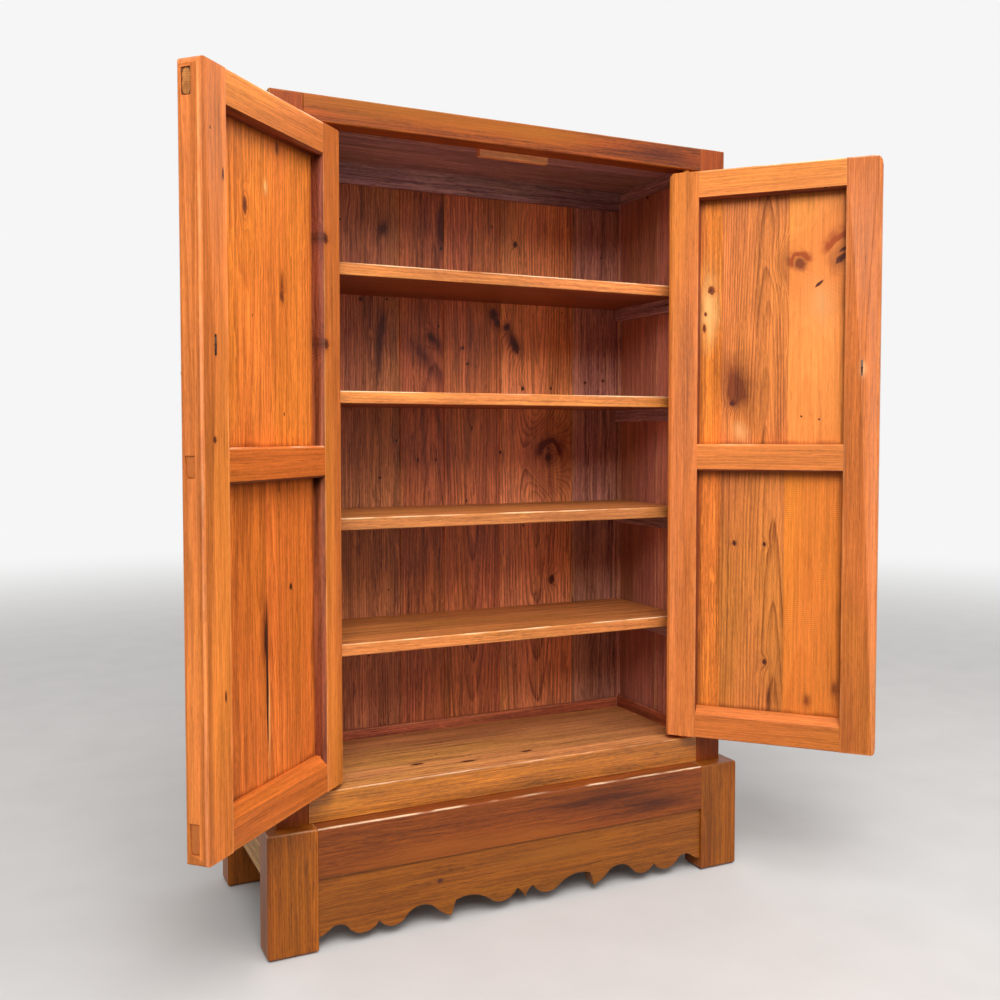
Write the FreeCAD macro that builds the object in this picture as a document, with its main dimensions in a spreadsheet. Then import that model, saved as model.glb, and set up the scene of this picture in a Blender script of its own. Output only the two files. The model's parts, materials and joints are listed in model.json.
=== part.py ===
"""Two-door pine cabinet on a stand with a scalloped apron, doors standing open.

Frame: millimetres, +Z up, the front faces -Y, and the origin is on the floor at the centre of the
stand. Every length is an expression over the cells of one sheet, so a change of a cell moves
everything that fits it.
"""

import FreeCAD
import Part
import os
import re
import Sketcher

DIMENSIONS = {
    # Overall
    "total_height": 1100,
    "body_width": 700,
    "body_depth": 270,
    "base_height": 162,
    "base_ledge_front": 23,
    "base_ledge_side": 16,
    "arris": 1.2,
    # Stand
    "leg_width": 66,
    "leg_depth": 42,
    "leg_round": 4,
    "foot_chamfer": 4,
    "base_rail_height": 66,
    "base_rail_thick": 40,
    "base_side_rail_thick": 30,
    "base_side_rail_inset": 2,
    "base_tenon_thick": 12,
    "base_tenon_inset": 14,
    "base_tenon_length": 22,
    "base_side_tenon_inset": 10,
    "base_side_tenon_length": 15,
    "base_tenon_shoulder": 9,
    "base_top_round": 3,
    "apron_thick": 22,
    "apron_setback": 4,
    "apron_housing": 6,
    "apron_low": 12,
    "apron_end_rise": 6,
    "scallop_rise": 22,
    # Body frame
    "post_width": 44,
    "post_depth": 40,
    "top_rail_height": 34,
    "bottom_rail_height": 40,
    "front_rail_depth": 31.5,
    "front_tenon_thick": 12,
    "front_tenon_inset": 7,
    "front_tenon_length": 21,
    "front_tenon_shoulder": 7,
    "side_top_rail_height": 40,
    "side_bottom_rail_height": 53,
    "side_tenon_length": 15,
    "back_top_rail_height": 52,
    "back_bottom_rail_height": 49,
    "back_rail_thick": 34,
    "back_tenon_thick": 11,
    "back_tenon_inset": 22,
    "back_tenon_length": 19,
    "frame_tenon_shoulder": 10,
    # Boards and panels
    "groove_depth": 6,
    "groove_end_gap": 0.5,
    "side_board_thick": 16,
    "side_board_inset": 6,
    "side_board_split": 88,
    "back_board_thick": 12,
    "back_board_inset": 7.5,
    "back_board_wide": 116,
    "back_board_second": 105,
    "back_board_third": 75,
    "back_board_fourth": 99,
    "back_board_fifth": 136,
    "tongue_thick": 4,
    "tongue_length": 4,
    "top_panel_thick": 14,
    "top_panel_drop": 6,
    "floor_panel_thick": 14,
    "floor_panel_drop": 6,
    # Shelves
    "shelf_thick": 17,
    "shelf_setback": 45,
    "shelf_gap": 0.5,
    "first_shelf_rise": 188,
    "shelf_pitch": 171.5,
    "cleat_thick": 16,
    "cleat_height": 20,
    "cleat_length": 170,
    "cleat_setback": 10,
    "stop_length": 108,
    "stop_thick": 10,
    "stop_drop": 9,
    "stop_offset": 7,
    # Doors
    "door_thick": 28,
    "door_setback": 1,
    "door_gap_side": 2,
    "door_gap_centre": 3,
    "door_gap_top": 7,
    "door_gap_bottom": 7,
    "hinge_stile_width": 45,
    "free_stile_width": 48,
    "door_top_rail_height": 41,
    "door_mid_rail_height": 40,
    "door_mid_rail_rise": 405,
    "door_bottom_rail_height": 46,
    "door_tenon_thick": 12,
    "door_tenon_inset": 6,
    "door_tenon_shoulder": 8,
    "door_tenon_haunch": 12,
    "door_tenon_recess": 1,
    "door_tenon_blind": 30,
    "door_panel_thick": 7,
    "door_panel_inset": 3,
    "door_groove_depth": 7,
    "sight_chamfer": 2.5,
    "joint_arris": 0.4,
    "hinge_round": 6,
    "free_round": 4,
    "top_corner_round": 10,
    "foot_corner_round": 5,
    "sill_rise": 11,
    "sill_run": 13,
    "left_swing_angle": 135.5,
    "right_swing_angle": 132.5,
    # Wooden pivots
    "pivot_from_edge": 20,
    "pivot_from_face": 7.5,
    "pivot_radius": 6.5,
    "pivot_running_gap": 0.06,
    "pivot_end_gap": 0.5,
    "lower_pivot_depth": 6,
    "upper_pivot_depth": 10,
    "lift_room": 8,
    # Pulls
    "pull_rise": 554,
    "plate_radius": 17,
    "plate_rim_thick": 0.9,
    "plate_boss_radius": 5,
    "plate_boss_height": 3,
    "plate_flare": 0.9,
    "pull_shank_radius": 1.6,
    "pull_shank_gap": 0.2,
    "pull_collar_radius": 3.2,
    "pull_collar_thick": 0.8,
    "pull_eye_out": 8.5,
    "pull_eye_radius": 3.4,
    "pull_eye_wire": 1.3,
    "pull_bar_gap": 0.08,
    "pull_bar_length": 11,
    "pull_arm_radius": 1.5,
    "pull_arm_spread": 4,
    "pull_neck_drop": 8,
    "pull_shoulder_radius": 5.6,
    "pull_neck_radius": 3.6,
    "pull_belly_radius": 6.2,
    "pull_belly_drop": 20,
    "pull_tail_drop": 29,
    "pull_waist": 0.6,
    "pull_tail_swell": 2.2,
    "pin_leg_length": 11,
    "pin_leg_width": 2.4,
    "pin_leg_thick": 0.9,
}

# Named places, each an expression over the sheet
BODY_FRONT = "((base_ledge_front - body_depth) / 2)"
BODY_BACK = "((base_ledge_front + body_depth) / 2)"
BASE_FRONT = "(-(base_ledge_front + body_depth) / 2)"
BASE_DEPTH = "(base_ledge_front + body_depth)"
BASE_HALF = "(body_width / 2 + base_ledge_side)"
BODY_HALF = "(body_width / 2)"
INNER_HALF = "(body_width / 2 - post_width)"
APRON_HALF = "(body_width / 2 + base_ledge_side - leg_width)"
BODY_HEIGHT = "(total_height - base_height)"
BETWEEN_POSTS = "(body_depth - 2 * post_depth)"
RAIL_FOOT = "(base_height - base_rail_height)"
FLOOR_LEVEL = "(base_height + bottom_rail_height - floor_panel_drop)"
DOOR_FOOT = "(base_height + bottom_rail_height + door_gap_bottom)"
DOOR_HEIGHT = (
    "(total_height - base_height - top_rail_height - bottom_rail_height - door_gap_top"
    " - door_gap_bottom)"
)
DOOR_WIDTH = "(body_width / 2 - post_width - door_gap_side - door_gap_centre / 2)"
PIVOT_X = "(body_width / 2 - post_width - door_gap_side - pivot_from_edge)"
PIVOT_Y = "((base_ledge_front - body_depth) / 2 + door_setback + pivot_from_face)"
# Sagitta of a quarter circle as a share of its radius
ARC_SWELL = 1 - 0.5**0.5
LEFT, RIGHT = -1, 1
SIDE_NAMES = {LEFT: "left", RIGHT: "right"}

doc = FreeCAD.newDocument("cabinet")
sheet = doc.addObject("Spreadsheet::Sheet", "dims")
for row, (name, size) in enumerate(DIMENSIONS.items(), start=1):
    sheet.set(f"A{row}", name)
    sheet.set(f"B{row}", str(size))
    sheet.setAlias(f"B{row}", name)
doc.recompute()
nodes = []


def value(expression):
    """Number that an expression has with the sheet's present sizes."""
    return float(sheet.evalExpression(expression))


def bind(target, prop, expression):
    """Tie one property of an object to the sheet."""

    def qualified(word):
        return "dims." + word.group(0) if word.group(0) in DIMENSIONS else word.group(0)

    target.setExpression(prop, re.sub(r"[a-z]\w*", qualified, expression))


def rectangle(u0, u1, v0, v1):
    """Four corners of a section."""
    return [(u0, v0), (u1, v0), (u1, v1), (u0, v1)]


def eased(u0, u1, v0, v1, cut="arris"):
    """Rectangular section with its four arrises planed off."""
    return [
        (f"{u0} + {cut}", v0),
        (f"{u1} - {cut}", v0),
        (u1, f"{v0} + {cut}"),
        (u1, f"{v1} - {cut}"),
        (f"{u1} - {cut}", v1),
        (f"{u0} + {cut}", v1),
        (u0, f"{v1} - {cut}"),
        (u0, f"{v0} + {cut}"),
    ]


def handed(side, section):
    """Section drawn for the left side, mirrored for the right one."""
    if side == LEFT:
        return section
    return [(f"-({corner[0]})", corner[1], *(f"-({swell})" for swell in corner[2:])) for corner in section]


def handed_span(side, start, end):
    """Span along X drawn for the left side, mirrored for the right one."""
    if side == LEFT:
        return (start, end)
    return (f"-({end})", f"-({start})")


def outline(body, name, role, corners):
    """Sketch of a closed outline on one of the body's own planes.

    A corner is (u, v) or (u, v, sagitta): with a sagitta the stretch to the next corner is an arc,
    which bulges to the left of its direction when the sagitta is positive.
    """
    planes = {feature.Role: feature for feature in body.Origin.OriginFeatures}
    sketch = body.newObject("Sketcher::SketchObject", name)
    sketch.AttachmentSupport = [(planes[role], "")]
    sketch.MapMode = "FlatFace"
    points = [FreeCAD.Vector(value(corner[0]), value(corner[1]), 0) for corner in corners]
    count = len(corners)
    for index, corner in enumerate(corners):
        start = points[index]
        end = points[(index + 1) % count]
        if len(corner) == 2:
            sketch.addGeometry(Part.LineSegment(start, end))
            continue
        along = (end - start).normalize()
        middle = (start + end) / 2 + FreeCAD.Vector(-along.y, along.x, 0) * value(corner[2])
        if value(corner[2]) > 0:
            start, end = end, start
        sketch.addGeometry(Part.Arc(start, middle, end))
    ends = []
    for corner in corners:
        clockwise = len(corner) == 3 and value(corner[2]) > 0
        ends.append((2, 1) if clockwise else (1, 2))
    for index in range(count):
        after = (index + 1) % count
        sketch.addConstraint(
            Sketcher.Constraint("Coincident", index, ends[index][1], after, ends[after][0])
        )
    for index, corner in enumerate(corners):
        for axis, kind in enumerate(("DistanceX", "DistanceY")):
            place = points[index][axis]
            number = sketch.addConstraint(
                Sketcher.Constraint(kind, -1, 1, index, ends[index][0], place)
            )
            label = f"{'uv'[axis]}{index}"
            sketch.renameConstraint(number, label)
            bind(sketch, f"Constraints.{label}", corner[axis])
        if len(corner) == 3:
            following = corners[(index + 1) % count]
            bulge = corner[2] if value(corner[2]) > 0 else f"(-({corner[2]}))"
            chord = f"((({following[0]}) - ({corner[0]}))^2 + (({following[1]}) - ({corner[1]}))^2)"
            radius = f"{chord} / (8 * {bulge}) + {bulge} / 2"
            number = sketch.addConstraint(Sketcher.Constraint("Radius", index, value(radius)))
            sketch.renameConstraint(number, f"r{index}")
            bind(sketch, f"Constraints.r{index}", radius)
    return sketch


def stock(label, along, section, length):
    """Wooden member of constant section, sawn to length along one of its own axes.

    The section lies across the length: (x, y) for a member along z, (y, z) along x, (x, z) along y.
    """
    body = doc.addObject("PartDesign::Body", label)
    body.Label = label
    role = {"z": "XY_Plane", "x": "YZ_Plane", "y": "XZ_Plane"}[along]
    pad = body.newObject("PartDesign::Pad", label + "_length")
    pad.Profile = outline(body, label + "_section", role, section)
    pad.Reversed = along == "y"
    bind(pad, "Length", length)
    body.Tip = pad
    nodes.append(body)
    return body


def shape_box(body, kind, name, x, y, z):
    """Rectangular feature of a body between three pairs of places."""
    box = body.newObject(kind, f"{body.Label}_{name}")
    for prop, axis, (start, end) in (("Length", "x", x), ("Width", "y", y), ("Height", "z", z)):
        bind(box, prop, f"({end}) - ({start})")
        bind(box, f"Placement.Base.{axis}", start)
    return box


def tenon(body, name, x, y, z):
    """Tenon or tongue left standing on a member."""
    return shape_box(body, "PartDesign::AdditiveBox", name, x, y, z)


def mortise(body, name, x, y, z):
    """Mortise, groove or housing cut into a member."""
    return shape_box(body, "PartDesign::SubtractiveBox", name, x, y, z)


def round_feature(body, kind, name, place, radius, length, turn=None):
    """Cylinder added to or cut from a body, rising from a place along its own turned axis."""
    cylinder = body.newObject(kind, f"{body.Label}_{name}")
    if turn:
        cylinder.Placement.Rotation = FreeCAD.Rotation(*turn)
    bind(cylinder, "Radius", radius)
    bind(cylinder, "Height", length)
    for axis, expression in zip("xyz", place):
        bind(cylinder, f"Placement.Base.{axis}", expression)
    return cylinder


def round_corner(body, name, edge, out, level, up, radius):
    """Round one corner of a standing member, seen from the front.

    The corner is where the edge at x meets the end at a level of z; out and up are 1 or -1 and point
    away from the wood.
    """
    clear = f"2 * {radius}"
    corners = [
        (f"{edge} - {out} * {radius}", level),
        (f"{edge} - {out} * {radius}", f"{level} + {up} * {clear}"),
        (f"{edge} + {out} * {clear}", f"{level} + {up} * {clear}"),
        (f"{edge} + {out} * {clear}", f"{level} - {up} * {radius}"),
        (edge, f"{level} - {up} * {radius}", f"{-out * up * ARC_SWELL} * {radius}"),
    ]
    pocket = body.newObject("PartDesign::Pocket", f"{body.Label}_{name}")
    pocket.Profile = outline(body, f"{body.Label}_{name}_outline", "XZ_Plane", corners)
    pocket.Type = "ThroughAll"
    pocket.Midplane = True
    body.Tip = pocket
    return pocket


def dress_edges(body, kind, name, size, chosen):
    """Fillet or chamfer on the edges of a body for which chosen(edge) is true."""
    doc.recompute()
    edges = body.Tip.Shape.Edges
    names = [f"Edge{number}" for number, edge in enumerate(edges, start=1) if chosen(edge)]
    feature = body.newObject(kind, f"{body.Label}_{name}")
    feature.Base = (body.Tip if body.Tip != feature else feature.BaseFeature, names)
    bind(feature, "Radius" if kind.endswith("Fillet") else "Size", size)
    return feature


def place(body, x, y, z):
    """Stand a body at its place in the cabinet."""
    for axis, expression in zip("xyz", (x, y, z)):
        bind(body, f"Placement.Base.{axis}", expression)


def lies_at(edge, axis, level):
    """Whether a whole edge lies at one level of an axis of its body."""
    box = edge.BoundBox
    low = getattr(box, axis + "Min")
    high = getattr(box, axis + "Max")
    return abs(low - level) < 1e-4 and abs(high - level) < 1e-4


def build_leg(side, end):
    """Leg of the stand, drawn inwards from its rounded outer corner; end is front or back."""
    inward = 1 if end == "front" else -1
    drawn = [
        ("leg_round", "0"),
        ("leg_width", "0"),
        ("leg_width", "leg_depth"),
        ("0", "leg_depth"),
        ("0", "leg_round", f"-{ARC_SWELL} * leg_round"),
    ]
    section = [
        (corner[0], f"{inward} * ({corner[1]})", *(f"{inward} * ({swell})" for swell in corner[2:]))
        for corner in handed(side, drawn)
    ]
    body = stock(f"base_leg_{end}_{SIDE_NAMES[side]}", "z", section, "base_height")

    def depth_span(start, stop):
        return (start, stop) if inward == 1 else (f"-({stop})", f"-({start})")

    rail_z = (f"{RAIL_FOOT} + base_tenon_shoulder", "base_height - base_tenon_shoulder")
    mortise(
        body,
        "rail_mortise",
        handed_span(side, "leg_width - base_tenon_length", "leg_width"),
        depth_span("base_tenon_inset", "base_tenon_inset + base_tenon_thick"),
        rail_z,
    )
    mortise(
        body,
        "side_mortise",
        handed_span(side, "base_side_tenon_inset", "base_side_tenon_inset + base_tenon_thick"),
        depth_span("leg_depth - base_side_tenon_length", "leg_depth"),
        rail_z,
    )
    if end == "front":
        mortise(
            body,
            "apron_housing",
            handed_span(side, "leg_width - apron_housing", "leg_width"),
            ("apron_setback", "apron_setback + apron_thick"),
            ("apron_low + apron_end_rise", RAIL_FOOT),
        )
        dress_edges(
            body,
            "PartDesign::Fillet",
            "top_round",
            "base_top_round",
            lambda edge: lies_at(edge, "Z", value("base_height")) and lies_at(edge, "Y", 0),
        )
    dress_edges(
        body,
        "PartDesign::Chamfer",
        "foot",
        "foot_chamfer",
        lambda edge: lies_at(edge, "Z", 0),
    )
    front = BASE_FRONT if end == "front" else BODY_BACK
    place(body, f"{side} * {BASE_HALF}", front, "0")


def build_base_rails():
    """Front, back and side rails between the legs, tenoned into them."""
    tenon_z = ("base_tenon_shoulder", "base_rail_height - base_tenon_shoulder")
    tenon_y = ("base_tenon_inset", "base_tenon_inset + base_tenon_thick")
    length = f"2 * {APRON_HALF}"
    for end in ("front", "back"):
        section = rectangle("0", "base_rail_thick", "0", "base_rail_height")
        body = stock(f"base_{end}_rail", "x", section, length)
        tenon(body, "left_tenon", ("-base_tenon_length", "0"), tenon_y, tenon_z)
        tenon(body, "right_tenon", (length, f"{length} + base_tenon_length"), tenon_y, tenon_z)
        if end == "front":
            dress_edges(
                body,
                "PartDesign::Fillet",
                "top_round",
                "base_top_round",
                lambda edge: lies_at(edge, "Y", 0) and lies_at(edge, "Z", value("base_rail_height")),
            )
            place(body, f"-{APRON_HALF}", BASE_FRONT, RAIL_FOOT)
        else:
            body.Placement.Rotation = FreeCAD.Rotation(FreeCAD.Vector(0, 0, 1), 180)
            place(body, APRON_HALF, BODY_BACK, RAIL_FOOT)
    side_length = f"{BASE_DEPTH} - 2 * leg_depth"
    for side in (LEFT, RIGHT):
        inset = "base_side_rail_inset"
        section = eased(inset, f"{inset} + base_side_rail_thick", "0", "base_rail_height")
        body = stock(f"base_side_rail_{SIDE_NAMES[side]}", "y", handed(side, section), side_length)
        across = handed_span(
            side, "base_side_tenon_inset", "base_side_tenon_inset + base_tenon_thick"
        )
        tenon(body, "front_tenon", across, ("-base_side_tenon_length", "0"), tenon_z)
        back = (side_length, f"{side_length} + base_side_tenon_length")
        tenon(body, "back_tenon", across, back, tenon_z)
        place(body, f"{side} * {BASE_HALF}", f"{BASE_FRONT} + leg_depth", RAIL_FOOT)


# Lower edge of the apron from its middle outwards: share of the half length, share of the rise, and
# the swell of the arc to the next place as a share of the rise, where an upward arch is positive
SCALLOPS = (
    (0.000, 0.18, 0.07),
    (0.042, 0.82, -0.48),
    (0.185, 0.50, 0.30),
    (0.354, 0.86, 0),
    (0.376, -0.05, -0.09),
    (0.462, 0.74, 0.32),
    (0.590, 0.59, -0.50),
    (0.722, 0.57, -0.45),
    (0.858, 0.41, 0.27),
    (0.944, 0.66, -0.055),
)


def build_apron():
    """Scalloped apron board under the front rail, housed in both front legs."""
    end_level = "apron_low + apron_end_rise"
    housed = f"({APRON_HALF} + apron_housing)"
    places = [
        (f"{share} * {APRON_HALF}", f"apron_low + {rise} * scallop_rise") for share, rise, _ in SCALLOPS
    ]
    places.append((APRON_HALF, end_level))
    swells = [(f"{swell} * scallop_rise",) if swell else () for _, _, swell in SCALLOPS]
    lower_left = [(f"-({u})", v) for u, v in reversed(places[1:])]
    corners = [(f"-{housed}", RAIL_FOOT), (f"-{housed}", end_level)]
    corners += [(*corner, *swell) for corner, swell in zip(lower_left, reversed(swells))]
    corners += [(*corner, *swell) for corner, swell in zip(places, swells)]
    corners += [places[-1], (housed, end_level), (housed, RAIL_FOOT)]
    body = stock("base_apron", "y", corners, "apron_thick")
    place(body, "0", f"{BASE_FRONT} + apron_setback", "0")


def build_post(side, end):
    """Corner post of the body, drawn inwards from its outer face, with panel grooves and mortises."""
    name = f"post_{end}_{SIDE_NAMES[side]}"
    section = handed(side, eased("0", "post_width", "0", "post_depth"))
    body = stock(name, "z", section, BODY_HEIGHT)
    board = ("post_width - side_board_inset - side_board_thick", "post_width - side_board_inset")
    board_x = handed_span(side, *board)
    whole = ("0", BODY_HEIGHT)
    top_z = (f"{BODY_HEIGHT} - side_top_rail_height", f"{BODY_HEIGHT} - frame_tenon_shoulder")
    low_z = ("frame_tenon_shoulder", "side_bottom_rail_height")
    if end == "front":
        groove_y = ("post_depth - groove_depth", "post_depth")
        deep_y = ("post_depth - side_tenon_length", "post_depth")
        tenon_x = handed_span(side, "post_width - front_tenon_length", "post_width")
        tenon_y = ("front_tenon_inset", "front_tenon_inset + front_tenon_thick")
        upper = (
            f"{BODY_HEIGHT} - top_rail_height + front_tenon_shoulder",
            f"{BODY_HEIGHT} - front_tenon_shoulder",
        )
        lower = ("front_tenon_shoulder", "bottom_rail_height - front_tenon_shoulder")
        mortise(body, "top_rail_mortise", tenon_x, tenon_y, upper)
        mortise(body, "bottom_rail_mortise", tenon_x, tenon_y, lower)
        place(body, f"{side} * {BODY_HALF}", BODY_FRONT, "base_height")
    else:
        groove_y = ("0", "groove_depth")
        deep_y = ("0", "side_tenon_length")
        tenon_x = handed_span(side, "post_width - back_tenon_length", "post_width")
        tenon_y = ("back_tenon_inset", "back_tenon_inset + back_tenon_thick")
        panel_x = handed_span(side, "post_width - groove_depth", "post_width")
        panel_y = ("back_board_inset", "back_board_inset + back_board_thick")
        upper = (
            f"{BODY_HEIGHT} - back_top_rail_height + frame_tenon_shoulder",
            f"{BODY_HEIGHT} - frame_tenon_shoulder",
        )
        lower = ("frame_tenon_shoulder", "back_bottom_rail_height - frame_tenon_shoulder")
        mortise(body, "back_groove", panel_x, panel_y, whole)
        mortise(body, "top_rail_mortise", tenon_x, tenon_y, upper)
        mortise(body, "bottom_rail_mortise", tenon_x, tenon_y, lower)
        place(body, f"{side} * {BODY_HALF}", f"{BODY_BACK} - post_depth", "base_height")
    mortise(body, "side_groove", board_x, groove_y, whole)
    mortise(body, "side_top_mortise", board_x, deep_y, top_z)
    mortise(body, "side_bottom_mortise", board_x, deep_y, low_z)


def build_front_rails():
    """Top and bottom rail of the front, tenoned flush between the posts, with the pivot sockets."""
    length = f"2 * {INNER_HALF}"
    tenon_y = ("front_tenon_inset", "front_tenon_inset + front_tenon_thick")
    hole = "pivot_radius + pivot_running_gap"
    pivot_y = "door_setback + pivot_from_face"
    for end in ("top", "bottom"):
        height = f"{end}_rail_height"
        body = stock(
            f"front_{end}_rail", "x", eased("0", "front_rail_depth", "0", height), length
        )
        tenon_z = ("front_tenon_shoulder", f"{height} - front_tenon_shoulder")
        tenon(body, "left_tenon", ("-front_tenon_length", "0"), tenon_y, tenon_z)
        tenon(body, "right_tenon", (length, f"{length} + front_tenon_length"), tenon_y, tenon_z)
        if end == "top":
            panel_z = (
                "top_rail_height - top_panel_drop - top_panel_thick",
                "top_rail_height - top_panel_drop",
            )
            socket_foot = "0"
            socket_depth = "upper_pivot_depth + lift_room"
            level = "total_height - top_rail_height"
        else:
            panel_z = (
                "bottom_rail_height - floor_panel_drop - floor_panel_thick",
                "bottom_rail_height - floor_panel_drop",
            )
            socket_foot = "bottom_rail_height - lower_pivot_depth - pivot_end_gap"
            socket_depth = "lower_pivot_depth + pivot_end_gap"
            level = "base_height"
        panel_y = ("front_rail_depth - groove_depth", "front_rail_depth")
        mortise(body, "panel_groove", ("0", length), panel_y, panel_z)
        for side in (LEFT, RIGHT):
            round_feature(
                body,
                "PartDesign::SubtractiveCylinder",
                f"{SIDE_NAMES[side]}_socket",
                (f"{INNER_HALF} + {side} * {PIVOT_X}", pivot_y, socket_foot),
                hole,
                socket_depth,
            )
        place(body, f"-{INNER_HALF}", BODY_FRONT, level)


def build_side_rails():
    """Top and bottom rail of each side, grooved for the side boards and the level panels."""
    length = BETWEEN_POSTS
    board = ("post_width - side_board_inset - side_board_thick", "post_width - side_board_inset")
    for side in (LEFT, RIGHT):
        board_x = handed_span(side, *board)
        inner_x = handed_span(side, "post_width - groove_depth", "post_width")
        for end in ("top", "bottom"):
            height = f"side_{end}_rail_height"
            section = handed(side, eased("0", "post_width", "0", height))
            body = stock(f"side_{end}_rail_{SIDE_NAMES[side]}", "y", section, length)
            if end == "top":
                groove_z = ("0", "groove_depth")
                tenon_z = ("0", f"{height} - frame_tenon_shoulder")
                panel_z = (
                    f"{height} - top_panel_drop - top_panel_thick",
                    f"{height} - top_panel_drop",
                )
                level = f"total_height - {height}"
            else:
                groove_z = (f"{height} - groove_depth", height)
                tenon_z = ("frame_tenon_shoulder", height)
                panel_z = (
                    "bottom_rail_height - floor_panel_drop - floor_panel_thick",
                    "bottom_rail_height - floor_panel_drop",
                )
                level = "base_height"
            for face, haunch_y, tenon_y in (
                ("front", ("-groove_depth", "0"), ("-side_tenon_length", "0")),
                (
                    "back",
                    (length, f"{length} + groove_depth"),
                    (length, f"{length} + side_tenon_length"),
                ),
            ):
                tenon(body, f"{face}_haunch", board_x, haunch_y, ("0", height))
                tenon(body, f"{face}_tenon", board_x, tenon_y, tenon_z)
            reach = ("-side_tenon_length", f"{length} + side_tenon_length")
            mortise(body, "board_groove", board_x, reach, groove_z)
            mortise(body, "panel_groove", inner_x, ("0", length), panel_z)
            place(body, f"{side} * {BODY_HALF}", f"{BODY_FRONT} + post_depth", level)


def build_back_rails():
    """Top and bottom rail of the back, grooved for the back boards and the level panels."""
    length = f"2 * {INNER_HALF}"
    board_y = ("back_board_inset", "back_board_inset + back_board_thick")
    tenon_y = ("back_tenon_inset", "back_tenon_inset + back_tenon_thick")
    for end in ("top", "bottom"):
        height = f"back_{end}_rail_height"
        section = eased("0", "back_rail_thick", "0", height)
        body = stock(f"back_{end}_rail", "x", section, length)
        tenon_z = ("frame_tenon_shoulder", f"{height} - frame_tenon_shoulder")
        tenon(body, "left_tenon", ("-back_tenon_length", "0"), tenon_y, tenon_z)
        tenon(body, "right_tenon", (length, f"{length} + back_tenon_length"), tenon_y, tenon_z)
        tenon(body, "left_haunch", ("-groove_depth", "0"), board_y, ("0", height))
        tenon(body, "right_haunch", (length, f"{length} + groove_depth"), board_y, ("0", height))
        if end == "top":
            groove_z = ("0", "groove_depth")
            panel_z = (
                f"{height} - top_panel_drop - top_panel_thick",
                f"{height} - top_panel_drop",
            )
            level = f"total_height - {height}"
        else:
            groove_z = (f"{height} - groove_depth", height)
            panel_z = (
                "bottom_rail_height - floor_panel_drop - floor_panel_thick",
                "bottom_rail_height - floor_panel_drop",
            )
            level = "base_height"
        reach = ("-groove_depth", f"{length} + groove_depth")
        mortise(body, "board_groove", reach, board_y, groove_z)
        mortise(body, "panel_groove", ("0", length), ("0", "groove_depth"), panel_z)
        place(body, f"-{INNER_HALF}", f"{BODY_BACK} - post_depth", level)


def board_section(width, thick, first, last):
    """Tongued and grooved board: groove on the starting edge, tongue on the far edge."""
    low = f"({thick} - tongue_thick) / 2"
    high = f"({thick} + tongue_thick) / 2"
    corners = [("arris", "0"), (f"{width} - arris", "0"), (width, "arris")]
    if not last:
        tip = f"{width} + tongue_length"
        corners += [(width, low), (tip, low), (tip, high), (width, high)]
    corners += [(width, thick), ("0", thick)]
    if not first:
        depth = "tongue_length + groove_end_gap"
        corners += [("0", high), (depth, high), (depth, low), ("0", low)]
    corners.append(("0", "arris"))
    return corners


def build_back_boards():
    """Six upright boards of different widths that fill the back frame."""
    widths = [
        "back_board_wide",
        "back_board_second",
        "back_board_third",
        "back_board_fourth",
        "back_board_fifth",
    ]
    reach = f"2 * {INNER_HALF} + 2 * groove_depth - 2 * groove_end_gap"
    widths.append(f"({reach} - {' - '.join(widths)})")
    foot = "base_height + back_bottom_rail_height - groove_depth"
    head = "total_height - back_top_rail_height + groove_depth - groove_end_gap"
    start = f"-{INNER_HALF} - groove_depth + groove_end_gap"
    for number, width in enumerate(widths, start=1):
        section = board_section(width, "back_board_thick", number == 1, number == len(widths))
        body = stock(f"back_board_{number}", "z", section, f"{head} - ({foot})")
        place(body, start, f"{BODY_BACK} - post_depth + back_board_inset", foot)
        start = f"{start} + {width}"


def build_side_boards():
    """Two upright boards in each side frame."""
    reach = f"({BETWEEN_POSTS} + 2 * groove_depth - 2 * groove_end_gap)"
    widths = ("side_board_split", f"({reach} - side_board_split)")
    foot = "base_height + side_bottom_rail_height - groove_depth"
    head = "total_height - side_top_rail_height + groove_depth - groove_end_gap"
    for side in (LEFT, RIGHT):
        start = f"{BODY_FRONT} + post_depth - groove_depth + groove_end_gap"
        for number, width in enumerate(widths, start=1):
            drawn = board_section(width, "side_board_thick", number == 1, number == 2)
            section = [(f"{side} * ({v})", u) for u, v in drawn]
            if side == LEFT:
                section.reverse()
            body = stock(f"side_board_{SIDE_NAMES[side]}_{number}", "z", section, f"{head} - ({foot})")
            place(body, f"{side} * ({INNER_HALF} + side_board_inset)", start, foot)
            start = f"{start} + {width}"


def build_level_panels():
    """Top panel and floor panel, let into the rails all round and cut back at the posts."""
    front = "front_rail_depth - groove_depth + groove_end_gap"
    back = "body_depth - post_depth + groove_depth - groove_end_gap"
    tongue = "groove_depth - groove_end_gap"
    ends = ("post_depth + groove_end_gap", "body_depth - post_depth - groove_end_gap")
    for name, thick, level in (
        ("top_panel", "top_panel_thick", "total_height - top_panel_drop - top_panel_thick"),
        ("floor_panel", "floor_panel_thick", f"{FLOOR_LEVEL} - floor_panel_thick"),
    ):
        body = stock(name, "x", rectangle(front, back, "0", thick), f"2 * {INNER_HALF}")
        tenon(body, "left_tongue", (f"-({tongue})", "0"), ends, ("0", thick))
        right = (f"2 * {INNER_HALF}", f"2 * {INNER_HALF} + {tongue}")
        tenon(body, "right_tongue", right, ends, ("0", thick))
        place(body, f"-{INNER_HALF}", BODY_FRONT, level)


def shelf_top(number):
    """Level of the upper face of a shelf, counted from the floor panel."""
    return f"({FLOOR_LEVEL} + first_shelf_rise + {number - 1} * shelf_pitch)"


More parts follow.
